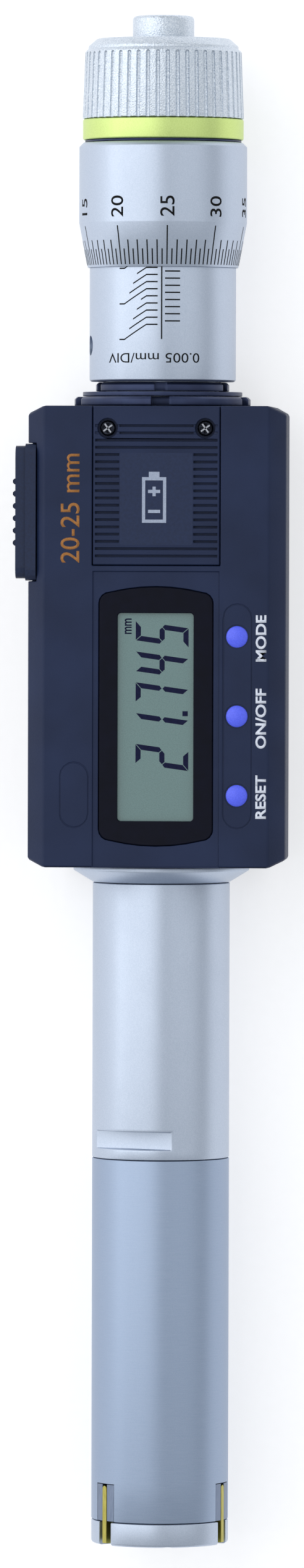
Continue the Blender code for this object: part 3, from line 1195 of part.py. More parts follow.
def toothed_ring(inner, outer, base, valley, tip, teeth):
    """Ring whose one end carries saw teeth: base is the flat end, valley and tip bound the teeth."""
    bm = bmesh.new()
    columns = []
    for index in range(teeth):
        angle = TURN * index / teeth
        ring = []
        for radius in (inner, outer):
            for height in (base, valley, tip):
                ring.append(bm.verts.new((radius * math.cos(angle), radius * math.sin(angle), height)))
        columns.append(ring)
    for here, there in zip(columns, columns[1:] + columns[:1]):
        inner_base, inner_valley, inner_tip, outer_base, outer_valley, outer_tip = here
        next_inner_base, next_inner_valley, next_inner_tip, next_base, next_valley, next_tip = there
        bm.faces.new((outer_base, next_base, next_valley, next_tip, outer_valley))
        bm.faces.new((inner_base, inner_valley, next_inner_tip, next_inner_valley, next_inner_base))
        bm.faces.new((inner_valley, outer_valley, next_tip, next_inner_tip))
        bm.faces.new((inner_base, next_inner_base, next_base, outer_base))
        bm.faces.new((inner_valley, inner_tip, outer_tip, outer_valley))
    bmesh.ops.recalc_face_normals(bm, faces=bm.faces[:])
    return bm


def ratchet_works(bench, steel, spring_steel, black_metal):
    """The toothed wheel on the spindle, the toothed plate in the knob, and the spring behind it."""
    bore = SPINDLE_TOP_RADIUS + FIT
    washer_top = WASHER_FOOT + WASHER_THICKNESS
    bench.place("thrust_washer", turned([
        (WASHER_INNER, WASHER_FOOT), (WASHER_RADIUS, WASHER_FOOT), (WASHER_RADIUS, washer_top),
        (WASHER_INNER, washer_top)], SEG_BIG), black_metal)
    bench.place("ratchet_wheel", toothed_ring(bore, RATCHET_RADIUS, WHEEL_FOOT, WHEEL_FOOT + WHEEL_THICKNESS,
                                              TEETH_TIP, RATCHET_TEETH), steel)
    bench.place("ratchet_plate", toothed_ring(bore, RATCHET_RADIUS, PLATE_TOP, PLATE_FOOT + TOOTH_HEIGHT,
                                              PLATE_FOOT, RATCHET_TEETH), steel)
    bench.coil("ratchet_spring", RATCHET_SPRING_RADIUS, RATCHET_SPRING_WIRE, 1,
               PLATE_TOP + FIT + RATCHET_SPRING_WIRE, WEB_CEILING - FIT - RATCHET_SPRING_WIRE,
               spring_steel, points_per_turn=16)

    shoulder_foot = SPINDLE_TOP + SEAM
    head_foot = KNOB_WEB_TOP + FIT
    head_top = head_foot + RATCHET_SCREW_HEAD_HEIGHT
    shank_end = SPINDLE_TOP - SPINDLE_TAP_DEPTH + RATCHET_SCREW_END_GAP
    bench.place("ratchet_screw", turned([
        (0.0, shank_end), (RATCHET_SCREW_SHANK, shank_end), (RATCHET_SCREW_SHANK, shoulder_foot),
        (RATCHET_SCREW_SHOULDER, shoulder_foot), (RATCHET_SCREW_SHOULDER, head_foot),
        (RATCHET_SCREW_HEAD, head_foot), (RATCHET_SCREW_HEAD, head_top), (0.0, head_top)], SEG_ROD), steel)


def colour_ring(bench, colour):
    inner = KNOB_SKIRT_RADIUS + FIT
    chamfer = COLOUR_RING_CHAMFER
    ring_top = RING_FOOT + COLOUR_RING_HEIGHT
    bench.place("colour_ring", turned([
        (inner, RING_FOOT), (COLOUR_RING_RADIUS - chamfer, RING_FOOT),
        (COLOUR_RING_RADIUS, RING_FOOT + chamfer), (COLOUR_RING_RADIUS, ring_top - chamfer),
        (COLOUR_RING_RADIUS - chamfer, ring_top), (inner, ring_top)], SEG_BIG), colour)


def ratchet_knob(bench, anodised):
    shoulder_low = GRIP_TOP - KNOB_SHOULDER_RISE
    shoulder_high = GRIP_TOP + KNOB_SHOULDER_RISE
    knob = bench.place("ratchet_knob", turned([
        (0.0, RING_FOOT), (KNOB_SKIRT_RADIUS, RING_FOOT), (KNOB_SKIRT_RADIUS, shoulder_low),
        (KNOB_SHOULDER_RADIUS, shoulder_low), (KNOB_SHOULDER_RADIUS, shoulder_high),
        (KNOB_CROWN_RADIUS, KNOB_TOP), (0.0, KNOB_TOP)], SEG_BIG), anodised)
    bench.add(knob, "grip", fluted_grip())
    screw_bore = RATCHET_SCREW_SHOULDER + FIT
    bench.cut(knob, "inside", turned([
        (0.0, RING_FOOT - OVERCUT), (KNOB_CAVITY, RING_FOOT - OVERCUT), (KNOB_CAVITY, WEB_CEILING),
        (screw_bore, WEB_CEILING), (screw_bore, KNOB_WEB_TOP), (CAP_CAVITY, KNOB_WEB_TOP),
        (CAP_CAVITY, KNOB_TOP + OVERCUT), (0.0, KNOB_TOP + OVERCUT)], SEG_MID))


def knob_cap(bench, anodised):
    plug_radius = CAP_CAVITY - FIT
    fillet_foot = NUB_FOOT + NUB_HEIGHT - NUB_DOME - NUB_FILLET
    bench.place("knob_cap", turned([
        (0.0, NUB_FOOT - NUB_PLUG), (plug_radius, NUB_FOOT - NUB_PLUG), (plug_radius, NUB_FOOT),
        (NUB_RADIUS, NUB_FOOT), (NUB_RADIUS, fillet_foot)]
        + arc((NUB_RADIUS - NUB_FILLET, fillet_foot), NUB_FILLET, 30.0, 90.0, 2)
        + [(0.0, NUB_FOOT + NUB_HEIGHT)], SEG_MID), anodised)


def fluted_grip():
    """Tapered disc of wide lands with a narrow groove between each two."""
    outline = []
    pitch = 360.0 / KNOB_GROOVES
    half = 0.5 * KNOB_GROOVE_ANGLE
    for index in range(KNOB_GROOVES):
        for offset, sink in ((-half, 0.0), (0.0, KNOB_GROOVE_DEPTH), (half, 0.0)):
            angle = math.radians(pitch * index + offset)
            reach = KNOB_BOTTOM_RADIUS - sink
            outline.append((reach * math.cos(angle), reach * math.sin(angle)))
    bm = prism(outline, GRIP_FOOT, GRIP_TOP)
    top = [vert for vert in bm.verts if vert.co.z > GRIP_TOP - WELD]
    taper = KNOB_TOP_RADIUS / KNOB_BOTTOM_RADIUS
    bmesh.ops.scale(bm, vec=(taper, taper, 1.0), verts=top)
    return bm


def build():
    clear_objects()
    bench = Bench()
    head_steel = make_material("satin_hardened_steel", (0.45, 0.50, 0.60), 0.35, 1.0)
    satin_chrome = make_material("satin_chrome", (0.60, 0.65, 0.72), 0.38, 1.0)
    steel = make_material("ground_steel", (0.55, 0.57, 0.60), 0.25, 1.0)
    carbide = make_material("gold_coated_carbide", (0.42, 0.38, 0.12), 0.3, 1.0)
    spring_steel = make_material("spring_steel", (0.35, 0.36, 0.38), 0.3, 1.0)
    screw_steel = make_material("blackened_steel", (0.02, 0.02, 0.025), 0.35, 1.0)
    black_metal = make_material("black_anodised_aluminium", (0.03, 0.035, 0.06), 0.4, 1.0)
    plastic = make_material("grey_blue_moulded_plastic", (0.03, 0.04, 0.075), 0.5, 0.0)
    window_plastic = make_material("gloss_black_window", (0.007, 0.008, 0.016), 0.1, 0.0)
    lcd_glass = make_material("lcd_glass", (0.13, 0.21, 0.21), 0.3, 0.0)
    button_plastic = make_material("violet_blue_plastic", (0.10, 0.14, 0.95), 0.45, 0.0)
    rubber = make_material("black_rubber", (0.02, 0.025, 0.04), 0.6, 0.0)
    laminate = make_material("glass_epoxy_laminate", (0.02, 0.16, 0.07), 0.5, 0.0)
    cell_steel = make_material("nickel_plated_steel", (0.65, 0.64, 0.60), 0.25, 1.0)
    contact_metal = make_material("nickel_plated_contact", (0.60, 0.58, 0.52), 0.3, 1.0)
    colour = make_material("lime_anodised_aluminium", (0.55, 0.72, 0.22), 0.35, 1.0)
    anodised = make_material("clear_anodised_aluminium", (0.62, 0.68, 0.76), 0.42, 1.0)

    head_body(bench, head_steel)
    end_cap(bench, head_steel, screw_steel)
    anvils(bench, head_steel, carbide)
    cone(bench, head_steel)
    push_rod(bench, steel, spring_steel)
    extension_tube(bench, satin_chrome)
    main_barrel(bench, satin_chrome)
    front_housing(bench, plastic)
    rear_cover(bench, plastic, screw_steel)
    battery_cover(bench, plastic)
    battery_cover_screws(bench, screw_steel)
    battery(bench, cell_steel, contact_metal)
    display(bench, window_plastic, lcd_glass)
    keys(bench, plastic, button_plastic)
    circuit_board(bench, laminate)
    connector_cap(bench, rubber)
    output_connector(bench, plastic)
    ring_nuts(bench, black_metal)
    scale_sleeve(bench, satin_chrome)
    adjusting_nut(bench, steel)
    thimble(bench, satin_chrome)
    spindle(bench, steel)
    encoder(bench, laminate)
    ratchet_works(bench, steel, spring_steel, black_metal)
    colour_ring(bench, colour)
    ratchet_knob(bench, anodised)
    knob_cap(bench, anodised)


build()
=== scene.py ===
import json
import math

import bpy
from mathutils import Matrix, Vector


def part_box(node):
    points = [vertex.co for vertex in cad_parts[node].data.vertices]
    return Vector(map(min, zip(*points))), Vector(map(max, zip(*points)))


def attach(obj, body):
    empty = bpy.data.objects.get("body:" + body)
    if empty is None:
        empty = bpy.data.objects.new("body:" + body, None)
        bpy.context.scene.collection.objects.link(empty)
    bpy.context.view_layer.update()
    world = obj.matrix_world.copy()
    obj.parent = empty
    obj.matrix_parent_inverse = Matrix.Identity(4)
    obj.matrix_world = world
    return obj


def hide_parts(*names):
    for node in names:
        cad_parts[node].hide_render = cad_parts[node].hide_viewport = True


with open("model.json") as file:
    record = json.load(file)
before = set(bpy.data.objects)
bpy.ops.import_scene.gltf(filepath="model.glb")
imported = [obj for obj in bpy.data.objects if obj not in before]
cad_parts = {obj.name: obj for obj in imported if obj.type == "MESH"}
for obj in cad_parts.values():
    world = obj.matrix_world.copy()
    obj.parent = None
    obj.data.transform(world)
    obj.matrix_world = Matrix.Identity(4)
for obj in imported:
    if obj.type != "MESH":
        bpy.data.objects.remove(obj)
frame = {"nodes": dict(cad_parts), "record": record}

# Sizes are in millimetres. The instrument lies on its back along Y with the display up
MM = 0.001
AXIS_HEIGHT = 13.0
SEAM = 0.1
WELD = 0.000002
ROUND = 144
SHARP = math.radians(32.0)

# Place, aim, roll and lens of the camera that took the photograph
CAMERA_PLACE = (88.1, 18.25, 1496.4)
CAMERA_AIM = (-1.36, -21.0, 13.0)
CAMERA_ROLL = math.radians(0.155)
CAMERA_LENS = 241.0
SENSOR = 36.0

nodes = frame["nodes"]
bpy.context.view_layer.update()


# Small helpers for picking, shaping and finishing


def pick(*pieces):
    """Deselects everything, then selects these pieces and makes the first one active."""
    bpy.ops.object.select_all(action="DESELECT")
    for piece in pieces:
        piece.select_set(True)
    bpy.context.view_layer.objects.active = pieces[0]


def span(node):
    """Lowest and highest place of a CAD node along the axis."""
    low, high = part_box(node)
    return low.y / MM, high.y / MM


def slope(first, second, share):
    """Value at a share of the way between two values."""
    return first + (second - first) * share


def arc_points(centre, radius, start, end, steps):
    """Points on an arc, from one angle in degrees to another."""
    points = []
    for step in range(steps + 1):
        angle = math.radians(slope(start, end, step / steps))
        points.append((centre[0] + radius * math.cos(angle), centre[1] + radius * math.sin(angle)))
    return points


def apply_all(piece):
    """Puts the place, turn and scale of a piece into its mesh."""
    pick(piece)
    bpy.ops.object.transform_apply(location=True, rotation=True, scale=True)
    return piece


def apply_modifier(piece, kind, name, **settings):
    """Adds a modifier with its settings and applies it."""
    pick(piece)
    modifier = piece.modifiers.new(name, kind)
    for field, value in settings.items():
        setattr(modifier, field, value)
    bpy.ops.object.modifier_apply(modifier=name)
    return piece


def smooth(piece):
    pick(piece)
    bpy.ops.object.shade_smooth_by_angle(angle=SHARP)
    return piece


def soften(piece, width, segments=2, angle=30.0, clamp=True):
    """Rounds the sharp edges of a piece by a small width."""
    apply_modifier(piece, "BEVEL", "edges", width=width * MM, segments=segments, limit_method="ANGLE",
                   angle_limit=math.radians(angle), use_clamp_overlap=clamp)
    return smooth(piece)


def even_faces(piece):
    """Shades flat faces flat right up to their rounded edges."""
    return apply_modifier(piece, "WEIGHTED_NORMAL", "flat_faces", keep_sharp=True)


def start_point(name, place):
    """Adds a plane, merges it to one vertex and leaves it in edit mode at a place."""
    bpy.ops.object.select_all(action="DESELECT")
    bpy.ops.mesh.primitive_plane_add(size=MM, location=(0.0, 0.0, 0.0))
    piece = bpy.context.active_object
    piece.name = name
    bpy.ops.object.mode_set(mode="EDIT")
    bpy.ops.mesh.select_all(action="SELECT")
    bpy.ops.mesh.merge(type="CENTER")
    bpy.ops.transform.translate(value=place)
    return piece


def draw_path(points):
    """Extrudes the picked vertex from point to point."""
    for first, second in zip(points, points[1:]):
        step = Vector(second) - Vector(first)
        bpy.ops.mesh.extrude_vertices_move(TRANSFORM_OT_translate={"value": step})


def close_up():
    """Merges doubled vertices and turns all faces outwards, in edit mode, and leaves it."""
    bpy.ops.mesh.select_all(action="SELECT")
    bpy.ops.mesh.remove_doubles(threshold=WELD)
    bpy.ops.mesh.normals_make_consistent(inside=False)
    bpy.ops.object.mode_set(mode="OBJECT")


def turned(name, outline, steps=ROUND, upright=None):
    """Turns an outline of (radius, height) points round the instrument's axis, or round an upright axis
    that stands at an (x, y) place."""
    if upright:
        places = [Vector((upright[0] + radius, upright[1], height)) * MM for radius, height in outline]
        centre = Vector((upright[0], upright[1], 0.0)) * MM
        axis = (0.0, 0.0, 1.0)
    else:
        places = [Vector((radius, height, AXIS_HEIGHT)) * MM for radius, height in outline]
        centre = Vector((0.0, 0.0, AXIS_HEIGHT)) * MM
        axis = (0.0, 1.0, 0.0)
    if outline[0][0] > 0.0:
        places.append(places[0])
    piece = start_point(name, places[0])
    draw_path(places)
    bpy.ops.mesh.select_all(action="SELECT")
    bpy.ops.mesh.remove_doubles(threshold=WELD)
    bpy.ops.mesh.spin(steps=steps, angle=math.tau, center=centre, axis=axis)
    close_up()
    return piece


def flat_ring(name, node, inner, outer):
    """Flat ring as tall as a CAD node."""
    foot, top = span(node)
    return turned(name, [(inner, foot), (outer, foot), (outer, top), (inner, top)])


def plate(name, outline, top, thickness):
    """Flat plate between its top height and a thickness below it, from an outline seen from the front."""
    places = [Vector((x * MM, y * MM, top * MM)) for x, y in outline]
    places.append(places[0])
    piece = start_point(name, places[0])
    draw_path(places)
    bpy.ops.mesh.select_all(action="SELECT")
    bpy.ops.mesh.edge_face_add()
    bpy.ops.mesh.extrude_region_move(TRANSFORM_OT_translate={"value": (0.0, 0.0, -thickness * MM)})
    close_up()
    return piece


def rounded_outline(left, right, foot, top, corner, arch=0.0):
    """Outline of a rectangle with round corners, whose top and bottom may arch outwards."""
    low = foot + arch
    high = top - arch
    inner_left = left + corner
    inner_right = right - corner
    middle = 0.5 * (left + right)
    half = 0.5 * (inner_right - inner_left)
    points = []
    if arch > 0.0:
        for step in range(1, 12):
            x = slope(inner_left, inner_right, step / 12)
            points.append((x, foot + arch * ((x - middle) / half) ** 2))
    points += arc_points((inner_right, low + corner), corner, -80.0, 0.0, 6)
    points += arc_points((inner_right, high - corner), corner, 0.0, 80.0, 6)
    if arch > 0.0:
        for step in range(1, 12):
            x = slope(inner_right, inner_left, step / 12)
            points.append((x, top - arch * ((x - middle) / half) ** 2))
    points += arc_points((inner_left, high - corner), corner, 100.0, 180.0, 6)
    points += arc_points((inner_left, low + corner), corner, 180.0, 260.0, 6)
    return points


def box_at(name, centre, size, turn=0.0):
    """Box with its sizes, turned about the Y axis by degrees."""
    bpy.ops.object.select_all(action="DESELECT")
    bpy.ops.mesh.primitive_cube_add(size=1.0, location=Vector(centre) * MM, scale=Vector(size) * MM,
                                    rotation=(0.0, math.radians(turn), 0.0))
    piece = bpy.context.active_object
    piece.name = name
    return apply_all(piece)


def around(angle, reach, along):
    """Point at an angle round the axis from the display side, at a reach from the axis."""
    turn = math.radians(angle)
    return (reach * math.sin(turn), along, AXIS_HEIGHT + reach * math.cos(turn))


def spoke_box(name, angle, inner, outer, width, foot, top):
    """Box that runs outwards from the axis at an angle."""
    centre = around(angle, 0.5 * (inner + outer), 0.5 * (foot + top))
    return box_at(name, centre, (width, top - foot, outer - inner), turn=angle)


def joined(name, pieces):
    """Joins pieces into one, under a name."""
    pick(*pieces)
    if len(pieces) > 1:
        bpy.ops.object.join()
    piece = bpy.context.view_layer.objects.active
    piece.name = name
    return piece


def carve(piece, cutters):
    """Cuts solids that stand apart from each other out of a piece."""
    cutter = joined("cutter", cutters)
    apply_modifier(piece, "BOOLEAN", "cut", operation="DIFFERENCE", object=cutter, solver="EXACT")
    bpy.data.objects.remove(cutter, do_unlink=True)
    return piece


def round_picked(piece, chosen, width, segments=3):
    """Rounds the edges whose two ends both pass a test on their place in millimetres."""
    pick(piece)
    bpy.ops.object.mode_set(mode="EDIT")
    bpy.ops.mesh.select_mode(type="EDGE")
    bpy.ops.mesh.select_all(action="DESELECT")
    bpy.ops.object.mode_set(mode="OBJECT")
    places = [vertex.co / MM for vertex in piece.data.vertices]
    for edge in piece.data.edges:
        first, second = (places[index] for index in edge.vertices)
        edge.select = chosen(first, second)
    bpy.ops.object.mode_set(mode="EDIT")
    bpy.ops.mesh.bevel(offset=width * MM, segments=segments, affect="EDGES", clamp_overlap=True)
    bpy.ops.mesh.select_mode(type="VERT")
    bpy.ops.object.mode_set(mode="OBJECT")


def refined(name, node, width, segments=2, picked=()):
    """Copy of a CAD node whose loose triangles are merged to plain faces and whose edges are rounded,
    first those that are picked, each by its own width, then the rest."""
    piece = bpy.data.objects.new(name, nodes[node].data.copy())
    bpy.context.scene.collection.objects.link(piece)
    pick(piece)
    bpy.ops.mesh.customdata_custom_splitnormals_clear()
    bpy.ops.object.mode_set(mode="EDIT")
    bpy.ops.mesh.select_all(action="SELECT")
    bpy.ops.mesh.remove_doubles(threshold=WELD)
    bpy.ops.mesh.dissolve_limited(angle_limit=math.radians(0.5))
    bpy.ops.object.mode_set(mode="OBJECT")
    for chosen, wide in picked:
        round_picked(piece, chosen, wide)
    return even_faces(soften(piece, width, segments, clamp=False))


def dress(piece, body, slot, *replaced, look=None):
    """Gives a piece the body it moves with and its slot's finish or another look, and hides the nodes it
    stands for."""
    piece.data.materials.clear()
    piece.data.materials.append(look or FINISHES[slot])
    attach(piece, body)
    if replaced:
        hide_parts(*replaced)
    return piece


# Materials


def linear(code):
    """Linear colour of an sRGB hex value."""
    channels = []
    for start in (1, 3, 5):
        value = int(code[start:start + 2], 16) / 255.0
        channels.append(value / 12.92 if value <= 0.04045 else ((value + 0.055) / 1.055) ** 2.4)
    return (*channels, 1.0)


def add_node(tree, kind, settings=None, values=None, links=None):
    """Adds a shader node, sets its fields and socket values, and links sockets to it."""
    made = tree.nodes.new(kind)
    for field, value in (settings or {}).items():
        setattr(made, field, value)
    for socket, value in (values or {}).items():
        made.inputs[socket].default_value = value
    for socket, source in (links or {}).items():
        tree.links.new(source, made.inputs[socket])
    return made


# Textures that draw the patterns, each with the output that is read from it
GRAIN = ("ShaderNodeTexNoise", "Fac")
DENTS = ("ShaderNodeTexVoronoi", "Distance")
WEAVE = ("ShaderNodeTexWave", "Fac")


def finish(name, sockets, patterns, colour, roughness=None, bumps=None, mean=None, shares=(0.3, 0.7)):
    """New material. Sockets are its shader's own values. A pattern has its texture, its size in
    millimetres, its detail and, where it runs one way, its stretch. Colour has a pattern and two
    shades, roughness a pattern and two values, and bumps a pattern and a depth in millimetres. Mean
    names two patterns, and their mean is then a pattern too. Colour and roughness go from their first
    value to their second between two shares of their pattern."""
    material = bpy.data.materials.new(name)
    material.use_nodes = True
    tree = material.node_tree
    shader = tree.nodes["Principled BSDF"]
    for socket, value in sockets.items():
        shader.inputs[socket].default_value = value
    place = add_node(tree, "ShaderNodeTexCoord").outputs["Object"]
    drawn = {}
    for title, ((texture, output), size, detail, *stretch) in patterns.items():
        source = place
        if stretch:
            lay = add_node(tree, "ShaderNodeMapping", values={"Scale": stretch[0]}, links={"Vector": place})
            source = lay.outputs["Vector"]
        made = add_node(tree, texture, values={"Scale": 1.0 / (size * MM), "Detail": detail},
                        links={"Vector": source})
        drawn[title] = made.outputs[output]
    if mean:
        both = add_node(tree, "ShaderNodeMath", settings={"operation": "ADD"},
                        links={0: drawn[mean[0]], 1: drawn[mean[1]]})
        half = add_node(tree, "ShaderNodeMath", settings={"operation": "MULTIPLY"}, values={1: 0.5},
                        links={0: both.outputs["Value"]})
        drawn["mean"] = half.outputs["Value"]
    limits = {"From Min": shares[0], "From Max": shares[1]}
    title, dark, light = colour
    share = add_node(tree, "ShaderNodeMapRange", values=limits, links={"Value": drawn[title]})
    mix = add_node(tree, "ShaderNodeMix", settings={"data_type": "RGBA"},
                   values={6: linear(dark), 7: linear(light)}, links={"Factor": share.outputs["Result"]})
    tree.links.new(mix.outputs[2], shader.inputs["Base Color"])
    if roughness:
        title, low, high = roughness
        share = add_node(tree, "ShaderNodeMapRange", values={**limits, "To Min": low, "To Max": high},
                         links={"Value": drawn[title]})
        tree.links.new(share.outputs["Result"], shader.inputs["Roughness"])
    if bumps:
        title, depth = bumps
        bump = add_node(tree, "ShaderNodeBump", values={"Distance": depth * MM, "Strength": 1.0},
                        links={"Height": drawn[title]})
        tree.links.new(bump.outputs["Normal"], shader.inputs["Normal"])
    return material


def satin_chrome():
    """Satin chrome plate on blasted steel: a pale blue-grey metal with a soft, even sheen.
    The real grit is about 0.05 mm; it is drawn at 0.16 mm so that it shows."""
    return finish("satin_chrome_plate", {"Metallic": 1.0, "Roughness": 0.4},
                  {"cloud": (GRAIN, 5.0, 3.0), "grit": (GRAIN, 0.16, 2.0)},
                  colour=("grit", "#b5c0d0", "#c1cad9"), roughness=("cloud", 0.38, 0.42),
                  bumps=("grit", 0.006))


def hardened_steel():
    """Ground and fine-blasted hardened steel: darker and bluer than the chrome, with faint rings
    from the grinding wheel, 0.12 mm apart."""
    return finish("satin_hardened_steel", {"Metallic": 1.0, "Roughness": 0.46},
                  {"rings": (GRAIN, 0.12, 2.0, (0.05, 1.0, 0.05)), "grit": (GRAIN, 0.15, 2.0)},
                  colour=("mean", "#98a7be", "#a3b1c6"), roughness=("rings", 0.4, 0.46),
                  bumps=("mean", 0.006), mean=("rings", "grit"))


def tool_steel():
    """Ground tool steel of the anvils: darker than the head and a little smoother."""
    return finish("ground_tool_steel", {"Metallic": 1.0, "Roughness": 0.36},
                  {"grind": (GRAIN, 0.12, 2.0, (1.0, 0.08, 1.0))},
                  colour=("grind", "#727e93", "#828da1"), bumps=("grind", 0.004))


def frosted_aluminium():
    """Bead-blasted, clear anodised aluminium: pale and frosted, with a coarse sparkle.
    The beads leave dents of about 0.1 mm, drawn at 0.2 mm."""
    return finish("bead_blasted_anodised_aluminium", {"Metallic": 1.0, "Roughness": 0.42},
                  {"dents": (DENTS, 0.2, 0.0), "grit": (GRAIN, 0.18, 3.0)},
                  colour=("grit", "#bac5d2", "#e6ecf3"), roughness=("grit", 0.34, 0.44),
                  bumps=("dents", 0.045))


def lime_anodised():
    """Dyed anodised aluminium, satin: a yellow-green metal with bright turned edges."""
    return finish("lime_anodised_aluminium", {"Metallic": 1.0, "Roughness": 0.42},
                  {"grit": (GRAIN, 0.15, 2.0)},
                  colour=("grit", "#c8dc86", "#d6e896"), roughness=("grit", 0.39, 0.45),
                  bumps=("grit", 0.006))


def black_anodised():
    """Black anodised aluminium: a dark blue-grey that still shines like metal at its edges."""
    return finish("black_anodised_aluminium", {"Metallic": 0.6, "Roughness": 0.4},
                  {"grit": (GRAIN, 0.15, 2.0), "cloud": (GRAIN, 3.0, 3.0)},
                  colour=("cloud", "#2a3250", "#343f5f"), roughness=("grit", 0.34, 0.42),
                  bumps=("grit", 0.006))


def gold_nitride():
    """Gold-coloured nitride coating on ground carbide: an olive gold, fairly smooth metal."""
    return finish("gold_nitride_coating", {"Metallic": 1.0, "Roughness": 0.28},
                  {"grind": (GRAIN, 0.1, 2.0, (1.0, 0.1, 1.0))},
                  colour=("grind", "#a39a48", "#bdb560"), bumps=("grind", 0.004))


def blackened_screw_steel():
    """Blackened screw steel, oiled: nearly black. The sharp bright glints at its recess are painted
    highlights, laid on as separate bars.
    """
    return finish("blackened_screw_steel", {"Metallic": 1.0, "Roughness": 0.24}, {"wear": (GRAIN, 0.5, 4.0)},
                  colour=("wear", "#15161c", "#30333c"), bumps=("wear", 0.008), shares=(0.4, 0.7))


def moulded_abs():
    """Moulded ABS from a spark-eroded tool: dark blue-grey, matt, with little gloss left by its grain
    of 0.12 mm, which is drawn at 0.25 mm."""
    return finish("spark_textured_abs", {"Roughness": 0.52, "Specular IOR Level": 0.22},
                  {"grain": (GRAIN, 0.25, 3.0), "cloud": (GRAIN, 9.0, 2.0)},
                  colour=("cloud", "#1a2541", "#202c4b"), roughness=("grain", 0.46, 0.56),
                  bumps=("grain", 0.012))


def smooth_abs():
    """The same ABS where the tool was polished: a little lighter and glossier."""
    return finish("polished_abs", {"Roughness": 0.36, "Specular IOR Level": 0.25},
                  {"grain": (GRAIN, 0.4, 3.0)},
                  colour=("grain", "#1b2744", "#202d4d"), roughness=("grain", 0.34, 0.42),
                  bumps=("grain", 0.006))


def window_acrylic():
    """Back-printed acrylic window: gloss black with a blue cast. Its anti-reflection coating, given by the
    low index, leaves only faint, sharp reflections."""
    return finish("back_printed_acrylic", {"Roughness": 0.12, "IOR": 1.16}, {"haze": (GRAIN, 2.0, 3.0)},
                  colour=("haze", "#080a17", "#0d0f1e"), roughness=("haze", 0.1, 0.16))


def crystal_display():
    """Reflective liquid crystal display under a clear window: grey-green, smooth, with a fine grain
    of 0.15 mm from its polariser."""
    return finish("liquid_crystal_glass", {"Roughness": 0.3, "Coat Weight": 0.5, "Coat Roughness": 0.05},
                  {"grain": (GRAIN, 0.15, 2.0)}, colour=("grain", "#567372", "#61807e"),
                  bumps=("grain", 0.002))


def display_segment():
    """Dark liquid crystal segments: blue-black with soft edges."""
    return finish("liquid_crystal_segment", {"Roughness": 0.35, "Specular IOR Level": 0.1},
                  {"grain": (GRAIN, 0.3, 2.0)}, colour=("grain", "#0d1030", "#14183a"))


def button_plastic():
    """Moulded polycarbonate button: clear violet-blue with a satin skin."""
    return finish("satin_polycarbonate", {"Roughness": 0.4, "IOR": 1.58}, {"grain": (GRAIN, 0.2, 2.0)},
                  colour=("grain", "#4c5df0", "#5b6bff"), roughness=("grain", 0.36, 0.44),
                  bumps=("grain", 0.004))


def moulded_rubber():
    """Moulded nitrile rubber: dark blue-grey, matt, with a soft sheen on its ribs."""
    return finish("moulded_nitrile_rubber", {"Roughness": 0.58, "Specular IOR Level": 0.3},
                  {"grain": (GRAIN, 0.3, 3.0)},
                  colour=("grain", "#19233d", "#202c49"), roughness=("grain", 0.5, 0.62),
                  bumps=("grain", 0.01))


def printing_ink(name, dark, light, sheen):
    """Screen-printing ink or engraving paint: flat colour with the slight mottle of its grain."""
    return finish(name, {"Roughness": sheen, "Specular IOR Level": 0.15}, {"grain": (GRAIN, 0.15, 2.0)},
                  colour=("grain", dark, light), roughness=("grain", sheen - 0.05, sheen + 0.05))


def bright_steel():
    """Turned and ground steel, bare: neutral and bright, with fine rings 0.1 mm apart."""
    return finish("ground_bare_steel", {"Metallic": 1.0, "Roughness": 0.26},
                  {"rings": (GRAIN, 0.1, 2.0, (0.05, 1.0, 0.05))},
                  colour=("rings", "#b4b6bb", "#c9cbd0"), bumps=("rings", 0.005))


def spring_wire():
    """Drawn spring wire: grey steel with a dull lustre."""
    return finish("drawn_spring_wire", {"Metallic": 1.0, "Roughness": 0.34}, {"drawing": (GRAIN, 0.2, 2.0)},
                  colour=("drawing", "#8f9299", "#a6a9b0"))


def nickel_plate():
    """Nickel plate on pressed steel: warm, bright and nearly smooth."""
    return finish("nickel_plated_steel", {"Metallic": 1.0, "Roughness": 0.2}, {"cloud": (GRAIN, 1.0, 3.0)},
                  colour=("cloud", "#cdc9c0", "#dbd8d0"))


def board_laminate():
    """Glass epoxy laminate with green solder resist; the glass cloth shows at 0.5 mm."""
    return finish("glass_epoxy_laminate", {"Roughness": 0.4}, {"cloth": (WEAVE, 0.5 * math.tau, 2.0)},
                  colour=("cloth", "#175c38", "#1d6b42"), shares=(0.0, 1.0))


FINISHES = {
    "satin_chrome": satin_chrome(),
    "head_steel": hardened_steel(),
    "clear_anodised": frosted_aluminium(),
    "lime_anodised": lime_anodised(),
    "black_anodised": black_anodised(),
    "gold_carbide": gold_nitride(),
    "black_screw": blackened_screw_steel(),
    "housing_plastic": moulded_abs(),
    "window_plastic": window_acrylic(),
    "lcd_glass": crystal_display(),
    "button_plastic": button_plastic(),
    "cap_rubber": moulded_rubber(),
    "ground_steel": bright_steel(),
    "spring_steel": spring_wire(),
    "cell_steel": nickel_plate(),
    "board_laminate": board_laminate(),
}
ANVIL_FINISH = tool_steel()
PANEL_FINISH = smooth_abs()
SEGMENT_FINISH = display_segment()
BLACK_PAINT = printing_ink("black_engraving_paint", "#070809", "#0f1114", 0.7)
WHITE_INK = printing_ink("white_screen_ink", "#d6dcec", "#e8ecf6", 0.5)
SILVER_INK = printing_ink("silver_grey_screen_ink", "#99a3b8", "#aab4c7", 0.45)
BRONZE_INK = printing_ink("bronze_screen_ink", "#9a6636", "#b07a45", 0.45)


def dress_cad_nodes():
    """Gives every CAD node the finish of its slot."""
    for part in frame["record"]["subparts"]:
        node = nodes[part["node"]]
        for place in node.material_slots:
            place.material = FINISHES[part["material_slot"]]


# Measuring head

